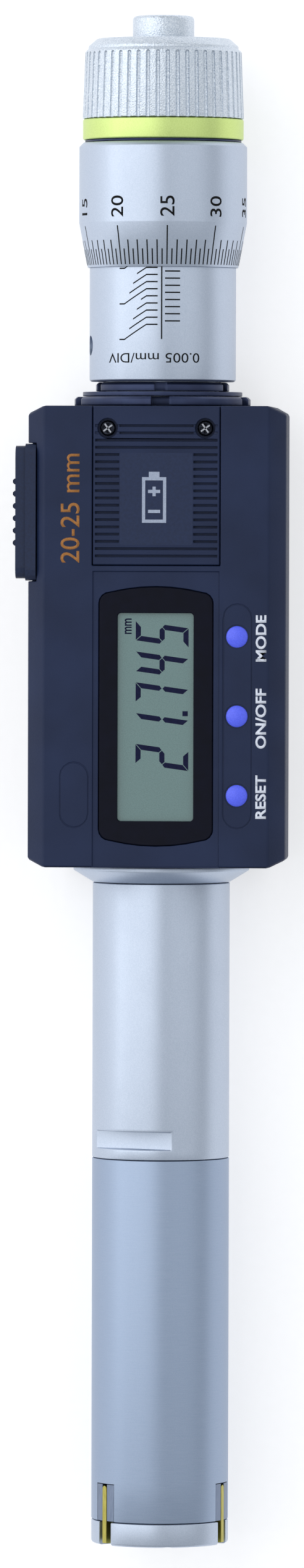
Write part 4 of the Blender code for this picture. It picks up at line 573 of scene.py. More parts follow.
HEAD_RADIUS = 9.7
HEAD_BORE = 6.1
ROD_BORE = 4.6
SPIGOT_RADIUS = 6.2
SPIGOT_LENGTH = 6.4
EDGE = 0.13
ANVIL_ANGLES = (-50.1, 69.9, 189.9)
ANVIL_SLOT = 3.95
ANVIL_SLOT_HEIGHT = 5.35
ANVIL_SLOT_INNER = 3.45
CAP_SLOT = 2.7
CAP_SLOT_FLOOR = 4.2
CAP_POCKET = 3.0
CAP_FLOOR = 1.0
CAP_FILLET = 0.4
CAP_SCREW_REACH = 7.9
CAP_SCREW_TURN = 60.0
CAP_SCREW_SINK = 1.65
CAP_SCREW_HOLE = 1.0
CAP_SINK_DEPTH = 0.9
CAP_SINK_START = 0.001
CONE_BORE_LENGTH = 22.6
OVERCUT = 1.0
CUT_MARGIN = 0.4


def measuring_head():
    """Head body with its bore and the three slots that the anvils slide in."""
    foot, top = span("head_body")
    shoulder = top - SPIGOT_LENGTH
    bore_end = foot + CONE_BORE_LENGTH
    piece = turned("measuring_head", [
        (HEAD_BORE, foot), (HEAD_RADIUS, foot), (HEAD_RADIUS, foot + ANVIL_SLOT_HEIGHT + CUT_MARGIN),
        (HEAD_RADIUS, shoulder), (SPIGOT_RADIUS, shoulder), (SPIGOT_RADIUS, top), (ROD_BORE, top),
        (ROD_BORE, bore_end), (HEAD_BORE, bore_end)])
    soften(piece, EDGE, 3)
    carve(piece, [spoke_box("slot", angle, ANVIL_SLOT_INNER, HEAD_RADIUS + OVERCUT, ANVIL_SLOT,
                            foot - OVERCUT, foot + ANVIL_SLOT_HEIGHT) for angle in ANVIL_ANGLES])
    smooth(piece)
    return dress(piece, "root", "head_steel", "head_body")


def end_cap():
    """Flat end of the head, with slots for the blades and countersunk holes for its screws."""
    foot, top = span("end_cap")
    floor = foot + CAP_FLOOR
    piece = turned("slotted_end_cap", [(0.0, foot)]
                   + arc_points((HEAD_RADIUS - CAP_FILLET, foot + CAP_FILLET), CAP_FILLET, -90.0, 0.0, 4)
                   + [(HEAD_RADIUS, top - EDGE), (HEAD_RADIUS - EDGE, top), (CAP_POCKET, top),
                      (CAP_POCKET, floor), (0.0, floor)])
    carve(piece, [spoke_box("slot", angle, CAP_SLOT_FLOOR, HEAD_RADIUS + OVERCUT, CAP_SLOT, foot - OVERCUT,
                            top + OVERCUT) for angle in ANVIL_ANGLES])
    sinks = []
    for angle in ANVIL_ANGLES:
        place = Vector(around(angle + CAP_SCREW_TURN, CAP_SCREW_REACH, 0.0))
        for radius_low, radius_high, low, high in (
                (CAP_SCREW_SINK, CAP_SCREW_HOLE, foot - CAP_SINK_START, foot + CAP_SINK_DEPTH),
                (CAP_SCREW_HOLE, CAP_SCREW_HOLE, foot - OVERCUT, top + OVERCUT)):
            bpy.ops.mesh.primitive_cone_add(vertices=32, radius1=radius_low * MM, radius2=radius_high * MM,
                                            depth=(high - low) * MM, rotation=(-0.5 * math.pi, 0.0, 0.0),
                                            location=(place.x * MM, 0.5 * (low + high) * MM, place.z * MM))
            sinks.append(apply_all(bpy.context.active_object))
    for sink in sinks:
        carve(piece, [sink])
    soften(piece, 0.05, 2, 40.0, False)
    return dress(piece, "root", "head_steel", "end_cap", look=FINISHES["satin_chrome"])


def anvils():
    """Anvils and their gold-coated blades, with broken edges."""
    for number, body in enumerate(("anvil_one", "anvil_two", "anvil_three"), start=1):
        anvil = refined(f"steel_anvil_{number}", f"anvil_{number}", 0.06)
        dress(anvil, body, "head_steel", f"anvil_{number}", look=ANVIL_FINISH)
        blade = refined(f"carbide_blade_{number}", f"anvil_blade_{number}", 0.05)
        dress(blade, body, "gold_carbide", f"anvil_blade_{number}")


# Tube, collar and barrel

FLATS_ACROSS = 15.0
FLATS_FOOT = 1.45
FLATS_LENGTH = 2.5
FLATS_ANGLE = -26.6
COLLAR_RADIUS = 12.45
COLLAR_RISE = 1.67
COLLAR_RIM = 0.63
BARREL_SEAT_RADIUS = 8.0
BARREL_SEAT = 3.0
BARREL_WAIST = 6.8
BARREL_BORE = 5.4
NUT_BORE = 3.9
THREAD_RADIUS = 6.6
THREAD_LENGTH = 7.0
THREAD_PITCH = 0.5
THREAD_DEPTH = 0.12
THREAD_START = 0.5
BARREL_END_LENGTH = 0.2
BARREL_END_DEPTH = 0.3
SPINDLE_THREAD = 18.7
FIT = 0.3


def extension_tube():
    """Tube between head and housing, with two spanner flats near its lower end."""
    foot, top = span("extension_tube")
    shoulder = top - SPIGOT_LENGTH
    socket = SPIGOT_RADIUS + FIT
    socket_top = foot + SPIGOT_LENGTH + FIT
    flat_foot = foot + FLATS_FOOT
    piece = turned("satin_tube", [
        (socket, foot), (HEAD_RADIUS, foot), (HEAD_RADIUS, flat_foot - CUT_MARGIN),
        (HEAD_RADIUS, flat_foot + FLATS_LENGTH + CUT_MARGIN), (HEAD_RADIUS, shoulder),
        (SPIGOT_RADIUS, shoulder), (SPIGOT_RADIUS, top), (ROD_BORE, top), (ROD_BORE, socket_top),
        (socket, socket_top)])
    carve(piece, [spoke_box("flat", FLATS_ANGLE + side, 0.5 * FLATS_ACROSS, HEAD_RADIUS + OVERCUT,
                            2.0 * HEAD_RADIUS, flat_foot, flat_foot + FLATS_LENGTH) for side in (0.0, 180.0)])
    soften(piece, EDGE, 3, 20.0, False)
    return dress(piece, "root", "satin_chrome", "extension_tube")


def main_barrel():
    """Barrel that runs through the housing and ends below in a flared collar."""
    foot, top = span("main_barrel")
    collar_top = foot + COLLAR_RISE + COLLAR_RIM
    seat_top = collar_top + BARREL_SEAT
    upper_seat = span("front_housing")[1] - BARREL_SEAT
    shoulder = top - THREAD_LENGTH
    socket = SPIGOT_RADIUS + FIT
    socket_top = foot + SPIGOT_LENGTH + FIT
    nut_foot = top - SPINDLE_THREAD
    root = THREAD_RADIUS - THREAD_DEPTH
    thread = [(root, shoulder)]
    for turn in range(int((THREAD_LENGTH - 2.0 * THREAD_START) / THREAD_PITCH)):
        ridge = shoulder + THREAD_START + THREAD_PITCH * turn
        thread += [(root, ridge), (THREAD_RADIUS, ridge + 0.5 * THREAD_PITCH)]
    piece = turned("barrel_with_collar", [
        (socket, foot), (HEAD_RADIUS, foot), (COLLAR_RADIUS, foot + COLLAR_RISE), (COLLAR_RADIUS, collar_top),
        (BARREL_SEAT_RADIUS, collar_top), (BARREL_SEAT_RADIUS, seat_top), (BARREL_WAIST, seat_top),
        (BARREL_WAIST, upper_seat), (BARREL_SEAT_RADIUS, upper_seat), (BARREL_SEAT_RADIUS, shoulder)]
        + thread
        + [(root, top - BARREL_END_LENGTH), (THREAD_RADIUS - BARREL_END_DEPTH, top), (NUT_BORE, top),
           (NUT_BORE, nut_foot), (BARREL_BORE, nut_foot), (BARREL_BORE, socket_top), (socket, socket_top)])
    soften(piece, 0.08, 2, 25.0)
    return dress(piece, "root", "satin_chrome", "main_barrel")


# Ring nuts

NUT_BORE_RADIUS = 8.3
NUT_CHAMFER = 0.35
NOTCH_COUNT = 5
FIRST_NOTCH = 1.8
DISC_RADIUS = 11.28
# Radius, notch width, notch depth and lower chamfer of each ring nut
LOWER_NUT = (12.45, 2.56, 3.3, 0.1)
UPPER_NUT = (9.42, 1.73, 1.0, 0.05)


def ring_nut(name, node, radius, notch_width, notch_depth, lower_chamfer):
    """Black ring nut with notches for a hook spanner."""
    foot, top = span(node)
    piece = turned(name, [
        (NUT_BORE_RADIUS, foot), (radius - lower_chamfer, foot), (radius, foot + lower_chamfer),
        (radius, top - NUT_CHAMFER), (radius - NUT_CHAMFER, top), (NUT_BORE_RADIUS, top)])
    carve(piece, [spoke_box("notch", FIRST_NOTCH + 360.0 * index / NOTCH_COUNT, radius - notch_depth,
                            radius + OVERCUT, notch_width, foot - OVERCUT, top + OVERCUT)
                  for index in range(NOTCH_COUNT)])
    soften(piece, 0.05, 2, 30.0, False)
    return dress(piece, "root", "black_anodised", node)


def ring_nuts():
    """Lower ring nut, the thin disc on it, and the slimmer upper ring nut."""
    ring_nut("notched_ring_nut", "lower_ring_nut", *LOWER_NUT)
    disc = flat_ring("thin_disc", "seal_disc", NUT_BORE_RADIUS, DISC_RADIUS)
    soften(disc, 0.06)
    dress(disc, "root", "black_anodised", "seal_disc")
    ring_nut("slim_ring_nut", "upper_ring_nut", *UPPER_NUT)


# Graduated sleeve and thimble

SLEEVE_RADIUS = 10.35
SLEEVE_CHAMFER = 0.25
SPANNER_HOLE = 1.4
SPANNER_HOLE_HEIGHT = 5.1
SPANNER_HOLE_DEPTH = 1.2
SPANNER_PIN = 3.0
SPANNER_HOLE_ANGLES = (-77.0, 103.0)
THIMBLE_BORE = 10.5
THIMBLE_EDGE_RADIUS = 10.65
THIMBLE_CONE = 6.31
THIMBLE_RADIUS = 11.87
THIMBLE_CHAMFER = 0.6
THIMBLE_WEB = 2.3
THIMBLE_WEB_BORE = 3.4
LINE_WIDTH = 0.19
PAINT_SINK = 0.02
PAINT_RISE = 0.012
INK_SINK = 0.005
WRAP_STEP = 0.4
# Height of a capital as a share of the font's size
CAPITAL_SHARE = 0.73


def sleeve():
    """Fixed sleeve that carries the millimetre scale, with blind holes for a pin spanner."""
    foot, top = span("scale_sleeve")
    piece = turned("graduated_sleeve", [
        (NUT_BORE_RADIUS, foot), (SLEEVE_RADIUS - SLEEVE_CHAMFER, foot),
        (SLEEVE_RADIUS, foot + SLEEVE_CHAMFER), (SLEEVE_RADIUS, top), (NUT_BORE_RADIUS, top)])
    soften(piece, 0.06)
    holes = []
    reach = SLEEVE_RADIUS - SPANNER_HOLE_DEPTH + 0.5 * SPANNER_PIN
    for angle in SPANNER_HOLE_ANGLES:
        bpy.ops.object.select_all(action="DESELECT")
        bpy.ops.mesh.primitive_cylinder_add(
            vertices=48, radius=SPANNER_HOLE * MM, depth=SPANNER_PIN * MM,
            rotation=(0.0, math.radians(angle), 0.0),
            location=Vector(around(angle, reach, foot + SPANNER_HOLE_HEIGHT)) * MM)
        holes.append(apply_all(bpy.context.active_object))
    carve(piece, holes)
    smooth(piece)
    return dress(piece, "root", "satin_chrome", "scale_sleeve")


def thimble():
    """Graduated thimble: a cone at its lower edge, a cylinder above and a web inside."""
    foot, top = span("thimble")
    web_foot = top - THIMBLE_WEB
    piece = turned("graduated_thimble", [
        (THIMBLE_BORE, foot), (THIMBLE_EDGE_RADIUS, foot), (THIMBLE_RADIUS, foot + THIMBLE_CONE),
        (THIMBLE_RADIUS, top - THIMBLE_CHAMFER), (THIMBLE_RADIUS - THIMBLE_CHAMFER, top),
        (THIMBLE_WEB_BORE, top), (THIMBLE_WEB_BORE, web_foot), (THIMBLE_BORE, web_foot)])
    soften(piece, 0.05, 2, 8.0)
    return dress(piece, "thimble", "satin_chrome", "thimble")


def ribbon(name, points, rise):
    """Painted line on the unrolled surface: a path drawn from point to point and drawn out upwards."""
    places = [Vector((across * MM, along * MM, 0.0)) for across, along in points]
    piece = start_point(name, places[0])
    draw_path(places)
    bpy.ops.mesh.select_all(action="SELECT")
    bpy.ops.mesh.extrude_edges_move(TRANSFORM_OT_translate={"value": (0.0, rise * MM, 0.0)})
    bpy.ops.mesh.select_all(action="SELECT")
    bpy.ops.mesh.normals_make_consistent(inside=False)
    bpy.ops.object.mode_set(mode="OBJECT")
    return piece


def sliced(piece):
    """Cuts a flat piece into narrow strips across, so that it can follow a round surface."""
    xs = [vertex.co.x for vertex in piece.data.vertices]
    cuts = int((max(xs) - min(xs)) / (WRAP_STEP * MM))
    pick(piece)
    bpy.ops.object.mode_set(mode="EDIT")
    for index in range(1, cuts + 1):
        bpy.ops.mesh.select_all(action="SELECT")
        bpy.ops.mesh.bisect(plane_co=(min(xs) + index * WRAP_STEP * MM, 0.0, 0.0), plane_no=(1.0, 0.0, 0.0))
    bpy.ops.object.mode_set(mode="OBJECT")
    return piece


def wrapped(piece, radius, radius_at):
    """Lays a flat piece round the axis: its X becomes the arc on a circle of the radius."""
    for vertex in piece.data.vertices:
        turn = vertex.co.x / (radius * MM)
        reach = radius_at(vertex.co.y / MM) * MM + vertex.co.z
        vertex.co.x = reach * math.sin(turn)
        vertex.co.z = AXIS_HEIGHT * MM + reach * math.cos(turn)
    return piece


def thicken(piece, height, sink, rise):
    """Gives flat paint its thickness, from just under a surface at a height to just above it."""
    pick(piece)
    bpy.ops.object.mode_set(mode="EDIT")
    bpy.ops.mesh.select_all(action="SELECT")
    bpy.ops.mesh.remove_doubles(threshold=WELD)
    bpy.ops.transform.translate(value=(0.0, 0.0, (height - sink) * MM))
    bpy.ops.mesh.extrude_region_move(TRANSFORM_OT_translate={"value": (0.0, 0.0, (sink + rise) * MM)})
    bpy.ops.mesh.select_all(action="SELECT")
    bpy.ops.mesh.normals_make_consistent(inside=False)
    bpy.ops.object.mode_set(mode="OBJECT")
    return piece


def lettering(name, text, height, centre, turn, weight=0.0, width=1.0):
    """Flat text of a capital height, thinned or widened, turned in its plane and centred at a place."""
    bpy.ops.object.select_all(action="DESELECT")
    bpy.ops.object.text_add(location=(0.0, 0.0, 0.0))
    writing = bpy.context.active_object
    writing.name = name
    writing.data.body = text
    writing.data.size = height / CAPITAL_SHARE * MM
    writing.data.offset = weight * MM
    writing.data.resolution_u = 4
    writing.data.fill_mode = "BOTH"
    bpy.ops.object.convert(target="MESH")
    piece = bpy.context.active_object
    xs = [vertex.co.x for vertex in piece.data.vertices]
    ys = [vertex.co.y for vertex in piece.data.vertices]
    middle = Vector((0.5 * (min(xs) + max(xs)), 0.5 * (min(ys) + max(ys)), 0.0))
    scale = Matrix.Diagonal((width, 1.0, 1.0, 1.0))
    place = Matrix.Translation((centre[0] * MM, centre[1] * MM, 0.0))
    spin = Matrix.Rotation(math.radians(turn), 4, "Z")
    piece.data.transform(place @ spin @ scale @ Matrix.Translation(-middle))
    return piece


TWENTY_FIVE_ANGLE = 6.3
DIVISIONS = 100
DIVISION_ANGLE = 3.6
TWENTY_FIVE_DIVISION = 50
NUMBERED = 10
LINES_START = 0.3
NUMBER_LINE = 5.75
EVEN_LINE = 3.75
ODD_LINE = 2.5
NUMBER_HEIGHT = 2.1
NUMBER_PLACE = 8.45
NUMBER_WEIGHT = 0.012
NUMBER_WIDTH = 1.1
INDEX_ANGLE = 2.45
INDEX_FOOT = 41.8
INDEX_END = 0.3
MARK_PITCH = 1.0
LEFT_MARK_FOOT = 43.87
LEFT_MARKS = 11
LEFT_MARK_ANGLES = (-0.7, -9.5)
RIGHT_MARK_FOOT = 44.36
RIGHT_MARKS = 10
RIGHT_MARK_ANGLES = (5.0, 16.9)
LEADER_LENGTHS = (3.36, 2.57, 1.99, 1.41, 0.81)
LEADER_SLOPE = 0.63
LEADER_END = 0.83
SLEEVE_TEXT = "0.005 mm/DIV"
SLEEVE_TEXT_HEIGHT = 1.43
SLEEVE_TEXT_PLACE = (-0.93, 39.17)
SLEEVE_TEXT_WIDTH = 1.2


def arc_length(angle, radius):
    """Length along a circle to an angle in degrees, taken the short way round."""
    return math.radians((angle + 180.0) % 360.0 - 180.0) * radius


def thimble_place(division):
    """Length round the thimble to one of its divisions."""
    return arc_length(TWENTY_FIVE_ANGLE + (division - TWENTY_FIVE_DIVISION) * DIVISION_ANGLE, THIMBLE_RADIUS)


def thimble_marks():
    """Hundred divisions on the cone, with a number above every tenth one."""
    foot = span("thimble")[0]
    flare = (THIMBLE_RADIUS - THIMBLE_EDGE_RADIUS) / THIMBLE_CONE
    half = 0.5 * LINE_WIDTH
    start = foot + LINES_START
    marks = []
    for division in range(DIVISIONS):
        across = thimble_place(division)
        length = NUMBER_LINE if division % NUMBERED == 0 else EVEN_LINE if division % 2 == 0 else ODD_LINE
        line = [(across - half, start), (across + half, start)]
        marks.append(ribbon("division", line, length - LINES_START))
    for division in range(0, DIVISIONS, NUMBERED):
        place = (thimble_place(division), foot + NUMBER_PLACE)
        marks.append(lettering("number", str(division // 2), NUMBER_HEIGHT, place, 90.0, NUMBER_WEIGHT,
                               NUMBER_WIDTH))
    piece = thicken(sliced(joined("thimble_graduations", marks)), 0.0, PAINT_SINK, PAINT_RISE)
    wrapped(piece, THIMBLE_RADIUS,
            lambda along: min(THIMBLE_EDGE_RADIUS + (along - foot) * flare, THIMBLE_RADIUS))
    return dress(piece, "thimble", "satin_chrome", look=BLACK_PAINT)


def sleeve_marks():
    """Millimetre scale on the sleeve: an index line, short lines to its right, and to its left lines
    whose slanted leaders grow longer and shorter in fives."""
    top = span("scale_sleeve")[1]
    half = 0.5 * LINE_WIDTH
    index = arc_length(INDEX_ANGLE, SLEEVE_RADIUS)
    marks = [ribbon("index", [(index - half, INDEX_FOOT), (index + half, INDEX_FOOT)],
                    top - INDEX_END - INDEX_FOOT)]
    near, far = (arc_length(angle, SLEEVE_RADIUS) for angle in LEFT_MARK_ANGLES)
    for number in range(LEFT_MARKS):
        along = LEFT_MARK_FOOT + number * MARK_PITCH - half
        reach = LEADER_LENGTHS[number % len(LEADER_LENGTHS)]
        path = [(near, along), (far, along), (far - reach, along - LEADER_SLOPE * reach)]
        if number % len(LEADER_LENGTHS) == 0:
            path.append((far - reach - LEADER_END, path[-1][1]))
        marks.append(ribbon("left_mark", path, LINE_WIDTH))
    start, end = (arc_length(angle, SLEEVE_RADIUS) for angle in RIGHT_MARK_ANGLES)
    for number in range(RIGHT_MARKS):
        along = RIGHT_MARK_FOOT + number * MARK_PITCH - half
        marks.append(ribbon("right_mark", [(start, along), (end, along)], LINE_WIDTH))
    marks.append(lettering("value", SLEEVE_TEXT, SLEEVE_TEXT_HEIGHT, SLEEVE_TEXT_PLACE, 180.0,
                           width=SLEEVE_TEXT_WIDTH))
    piece = thicken(sliced(joined("sleeve_graduations", marks)), 0.0, PAINT_SINK, PAINT_RISE)
    wrapped(piece, SLEEVE_RADIUS, lambda along: SLEEVE_RADIUS)
    return dress(piece, "root", "satin_chrome", look=BLACK_PAINT)


# Washer, colour ring, knob and nub

WASHER_RADIUS = 11.05
WASHER_INNER = 7.4
RING_RADIUS = 11.36
RING_INNER = 10.7
RING_CHAMFER = 0.15
KNOB_SKIRT = 10.4
KNOB_BOTTOM_RADIUS = 11.4
KNOB_TOP_RADIUS = 11.05
KNOB_GRIP = 9.7
KNOB_GRIP_ROUNDING = 0.3
KNOB_SHOULDER = 10.6
KNOB_SHOULDER_RISE = 0.5
KNOB_SHOULDER_LIP = 0.1
KNOB_CROWN_RADIUS = 9.4
KNOB_CAVITY = 7.7
KNOB_WEB_FOOT = 75.96
KNOB_WEB = 1.6
KNOB_SCREW_BORE = 2.5
CAP_CAVITY = 4.0
GROOVES = 50
FIRST_GROOVE = -0.7
GROOVE_RADIUS = 0.29
GROOVE_SINK = 0.02
GROOVE_TOP_GAP = 0.35
GROOVE_END = 0.9 * GROOVE_RADIUS
NUB_RADIUS = 4.34
NUB_PLUG = 3.7
NUB_HEIGHT = 3.3
NUB_FILLET = 0.6
NUB_DOME = 0.15
# Shares of the nub's radius and of its dome's height
NUB_CURVE = ((0.7, 0.4), (0.4, 0.8))


def washer_and_ring():
    """Dark washer on the thimble, and the ring whose colour tells the instrument's range."""
    washer = flat_ring("dark_washer", "thrust_washer", WASHER_INNER, WASHER_RADIUS)
    smooth(washer)
    dress(washer, "thimble", "black_anodised", "thrust_washer")
    foot, top = span("colour_ring")
    ring = turned("lime_ring", [
        (RING_INNER, foot), (RING_RADIUS - RING_CHAMFER, foot), (RING_RADIUS, foot + RING_CHAMFER),
        (RING_RADIUS, top - RING_CHAMFER), (RING_RADIUS - RING_CHAMFER, top), (RING_INNER, top)])
    soften(ring, 0.03)
    return dress(ring, "ratchet", "lime_anodised", "colour_ring")


def knob():
    """Ratchet knob: a slightly conical grip with round-bottomed grooves that end below its top."""
    foot, top = span("ratchet_knob")
    grip_foot = span("colour_ring")[1] + SEAM
    grip_top = grip_foot + KNOB_GRIP
    shoulder_top = grip_top + KNOB_SHOULDER_RISE
    piece = turned("fluted_knob", [
        (KNOB_CAVITY, foot), (KNOB_SKIRT, foot), (KNOB_SKIRT, grip_foot), (KNOB_BOTTOM_RADIUS, grip_foot),
        (KNOB_TOP_RADIUS, grip_top - KNOB_GRIP_ROUNDING), (KNOB_TOP_RADIUS - KNOB_GRIP_ROUNDING, grip_top),
        (KNOB_SHOULDER, grip_top + KNOB_SHOULDER_LIP), (KNOB_SHOULDER, shoulder_top),
        (KNOB_CROWN_RADIUS, top), (CAP_CAVITY, top), (CAP_CAVITY, KNOB_WEB_FOOT + KNOB_WEB),
        (KNOB_SCREW_BORE, KNOB_WEB_FOOT + KNOB_WEB), (KNOB_SCREW_BORE, KNOB_WEB_FOOT),
        (KNOB_CAVITY, KNOB_WEB_FOOT)], GROOVES * 4)
    soften(piece, 0.12, 3)
    groove_foot = grip_foot - OVERCUT
    groove_top = grip_top - GROOVE_TOP_GAP
    taper = math.atan2(KNOB_BOTTOM_RADIUS - KNOB_TOP_RADIUS, KNOB_GRIP)
    middle = 0.5 * (groove_foot + groove_top)
    reach = slope(KNOB_BOTTOM_RADIUS, KNOB_TOP_RADIUS, (middle - grip_foot) / KNOB_GRIP) - GROOVE_SINK
    lay = Matrix.Rotation(-0.5 * math.pi - taper, 4, "X")
    cutters = []
    for index in range(GROOVES):
        turn = math.radians(FIRST_GROOVE + index * 360.0 / GROOVES)
        bpy.ops.object.select_all(action="DESELECT")
        bpy.ops.mesh.primitive_cylinder_add(vertices=12, radius=GROOVE_RADIUS * MM, location=(0.0, 0.0, 0.0),
                                            depth=(groove_top - groove_foot) * MM)
        cutter = bpy.context.active_object
        bpy.ops.object.mode_set(mode="EDIT")
        bpy.ops.mesh.select_all(action="DESELECT")
        bpy.ops.object.mode_set(mode="OBJECT")
        for face in cutter.data.polygons:
            face.select = face.normal.z > 0.9
        bpy.ops.object.mode_set(mode="EDIT")
        bpy.ops.mesh.bevel(offset=GROOVE_END * MM, segments=3, affect="EDGES")
        bpy.ops.object.mode_set(mode="OBJECT")
        cutter.data.transform(Matrix.Translation((0.0, 0.0, AXIS_HEIGHT * MM)) @ Matrix.Rotation(turn, 4, "Y")
                              @ Matrix.Translation((0.0, middle * MM, reach * MM)) @ lay)
        cutters.append(cutter)
    carve(piece, cutters)
    smooth(piece)
    return dress(piece, "ratchet", "clear_anodised", "ratchet_knob")


def nub():
    """Plug on top of the knob, slightly domed."""
    foot, top = span("knob_cap")
    seat = top - NUB_HEIGHT
    rim = top - NUB_DOME
    piece = turned("round_nub", [(0.0, foot), (NUB_PLUG, foot), (NUB_PLUG, seat), (NUB_RADIUS, seat)]
                   + arc_points((NUB_RADIUS - NUB_FILLET, rim - NUB_FILLET), NUB_FILLET, 0.0, 80.0, 6)
                   + [(reach * NUB_RADIUS, rim + rise * NUB_DOME) for reach, rise in NUB_CURVE]
                   + [(0.0, top)])
    smooth(piece)
    return dress(piece, "ratchet", "clear_anodised", "knob_cap")


# Housing, cover, strips and seals

FRONT_FACE = 27.5
FACE_MARGIN = 0.02
HOUSING_END = 32.4
COVER_GAP_MARGIN = 0.4
COVER_RIM_MARGIN = 0.05
LEDGE_MARGIN = 0.3
COVER_HALF_WIDTH = 8.9
COVER_FOOT = 10.1
LEDGE_FOOT = 9.1
PANEL_HALF_WIDTH = 5.1
PANEL_FOOT = 12.9
PANEL_TOP = 25.8
PANEL_RISE = 0.005
PANEL_CORNER = 0.3
TOP_GROOVES = 4
SIDE_GROOVES = 13
FOOT_GROOVES = 2
FIRST_COVER_GROOVE = 29.6
COVER_GROOVE_PITCH = 1.014
COVER_GROOVE_WIDTH = 0.3
COVER_GROOVE_DEPTH = 0.6
COVER_GROOVE_OUTER = 8.55
COVER_GROOVE_INNER = 5.25
SCREW_ROWS = 2
SCREW_ROW_GROOVE = 5.2
SEAL_GROWTH = 0.2
SEAL_DROP = 0.1
SEAL_THICKNESS = 0.5
CROSS_TURNS = (35.0, 125.0)
CROSS_BAR = (1.5, 0.22, 0.04)


def at_face(first, second):
    """Both ends lie on the front face."""
    return min(first.z, second.z) > FRONT_FACE - FACE_MARGIN


def on_top_edge(first, second):
    """Both ends lie on the housing's upper edge."""
    return at_face(first, second) and min(first.y, second.y) > HOUSING_END - FACE_MARGIN


def on_cover_gap(first, second):
    """Both ends lie on the housing's edge beside the cover or on the ledge below it."""
    sides = (abs(first.x), abs(second.x))
    beside = min(sides) > COVER_HALF_WIDTH and max(sides) < COVER_HALF_WIDTH + COVER_GAP_MARGIN
    return at_face(first, second) and beside and min(first.y, second.y) > LEDGE_FOOT - LEDGE_MARGIN


def on_cover_rim(first, second):
    """Both ends lie on the outer rim of the cover."""
    sides = min(abs(first.x), abs(second.x)) > COVER_HALF_WIDTH - COVER_RIM_MARGIN
    foot = max(first.y, second.y) < COVER_FOOT + COVER_RIM_MARGIN
    return at_face(first, second) and (sides or foot)


def cover_grooves():
    """Narrow slots in the bottoms of the cover's grooves: the whole width above and below the plain
    panel, short ones beside it, and shorter ones between the screws."""
    rows = TOP_GROOVES + SIDE_GROOVES + FOOT_GROOVES
    slots = []
    for row in range(rows):
        along = FIRST_COVER_GROOVE - COVER_GROOVE_PITCH * row
        outer = SCREW_ROW_GROOVE if row < SCREW_ROWS else COVER_GROOVE_OUTER
        inner = COVER_GROOVE_INNER if TOP_GROOVES <= row < rows - FOOT_GROOVES else 0.0
        spans = [(-outer, -inner), (inner, outer)] if inner else [(-outer, outer)]
        for left, right in spans:
            slots.append(box_at("slot", (0.5 * (left + right), along, FRONT_FACE),
                                (right - left, COVER_GROOVE_WIDTH, 2.0 * COVER_GROOVE_DEPTH)))
    return slots


def strip_seals():
    """Seal that closes the seam round each of the two inserted strips, just below the face."""
    for name, node in (("right_seal", "key_strip"), ("left_seal", "blank_strip")):
        low, high = (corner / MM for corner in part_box(node))
        half = 0.5 * (high.x - low.x) + SEAL_GROWTH
        outline = rounded_outline(low.x - SEAL_GROWTH, high.x + SEAL_GROWTH, low.y - SEAL_GROWTH,
                                  high.y + SEAL_GROWTH, 0.999 * half)
        seal = plate(name, outline, FRONT_FACE - SEAL_DROP, SEAL_THICKNESS)
        dress(smooth(seal), "root", "housing_plastic")


def housing_pieces():
    """Moulded pieces of the housing, their edges broken as a mould leaves them, and the cover's screws."""
    for name, node, width, segments, picked in (
            ("front_moulding", "front_housing", 0.12, 3, ((on_top_edge, 0.5), (on_cover_gap, 0.16))),
            ("rear_moulding", "rear_cover", 0.12, 2, ()),
            ("grooved_cover", "battery_cover", 0.06, 2, ((on_cover_rim, 0.18),)),
            ("right_pad", "key_strip", 0.07, 2, ()), ("left_pad", "blank_strip", 0.12, 3, ())):
        piece = refined(name, node, width, segments, picked=picked)
        if name == "grooved_cover":
            even_faces(carve(piece, cover_grooves()))
        dress(piece, "root", "housing_plastic", node)
    for number in (1, 2):
        screw = refined(f"cross_screw_{number}", f"battery_cover_screw_{number}", 0.05)
        dress(screw, "root", "black_screw", f"battery_cover_screw_{number}")


def paint_screw_glints():
    """Painted glints: two bright steel bars laid in a cross on the head of each cover screw, over its cross
    recess, standing for the light that the recess catches.
    """
    bars = []
    for number in (1, 2):
        low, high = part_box(f"battery_cover_screw_{number}")
        for turn in CROSS_TURNS:
            bar = box_at("bar", (0.0, 0.0, 0.0), CROSS_BAR)
            place = Matrix.Translation((0.5 * (low.x + high.x), 0.5 * (low.y + high.y), high.z))
            bar.data.transform(place @ Matrix.Rotation(math.radians(turn), 4, "Z"))
            bars.append(bar)
    # The bars are painted highlights, given the bright spring steel finish.
    dress(joined("painted_cross_glints", bars), "root", "black_screw", look=FINISHES["spring_steel"])


# Window, display and buttons

WINDOW_ARCH = 0.8
WINDOW_CORNER = 1.5
FRAME_DEPTH = 0.55
DISPLAY_GAP = 0.01
VIEW_LEFT = -5.39
VIEW_RIGHT = 5.28
VIEW_FOOT = -25.85
VIEW_TOP = 3.35
VIEW_CORNER = 0.5
DIGIT_HEIGHT = 7.42
DIGIT_WIDTH = 2.75
DIGIT_PITCH = 4.32
DIGIT_BOTTOM = 4.56
DIGIT_FOOT = -18.8
DIGIT_SLANT = math.tan(math.radians(8.0))
SEGMENT = 0.72
SEGMENT_GAP = 0.07
SEGMENT_RISE = 0.015
READING = ("abged", "bc", "abc", "fgbc", "afgcd")
POINT_PLACE = (4.1, -10.75)
POINT_SIZE = (0.75, 0.7)
UNIT_PLACE = (-3.93, 1.49)
UNIT_HEIGHT = 1.45
UNIT_WEIGHT = 0.03
UNIT_WIDTH = 0.75
BUTTON_RADIUS = 1.6
BUTTON_FLANGE = 2.0
BUTTON_FLANGE_TOP = 25.4
BUTTON_DOME = 0.62
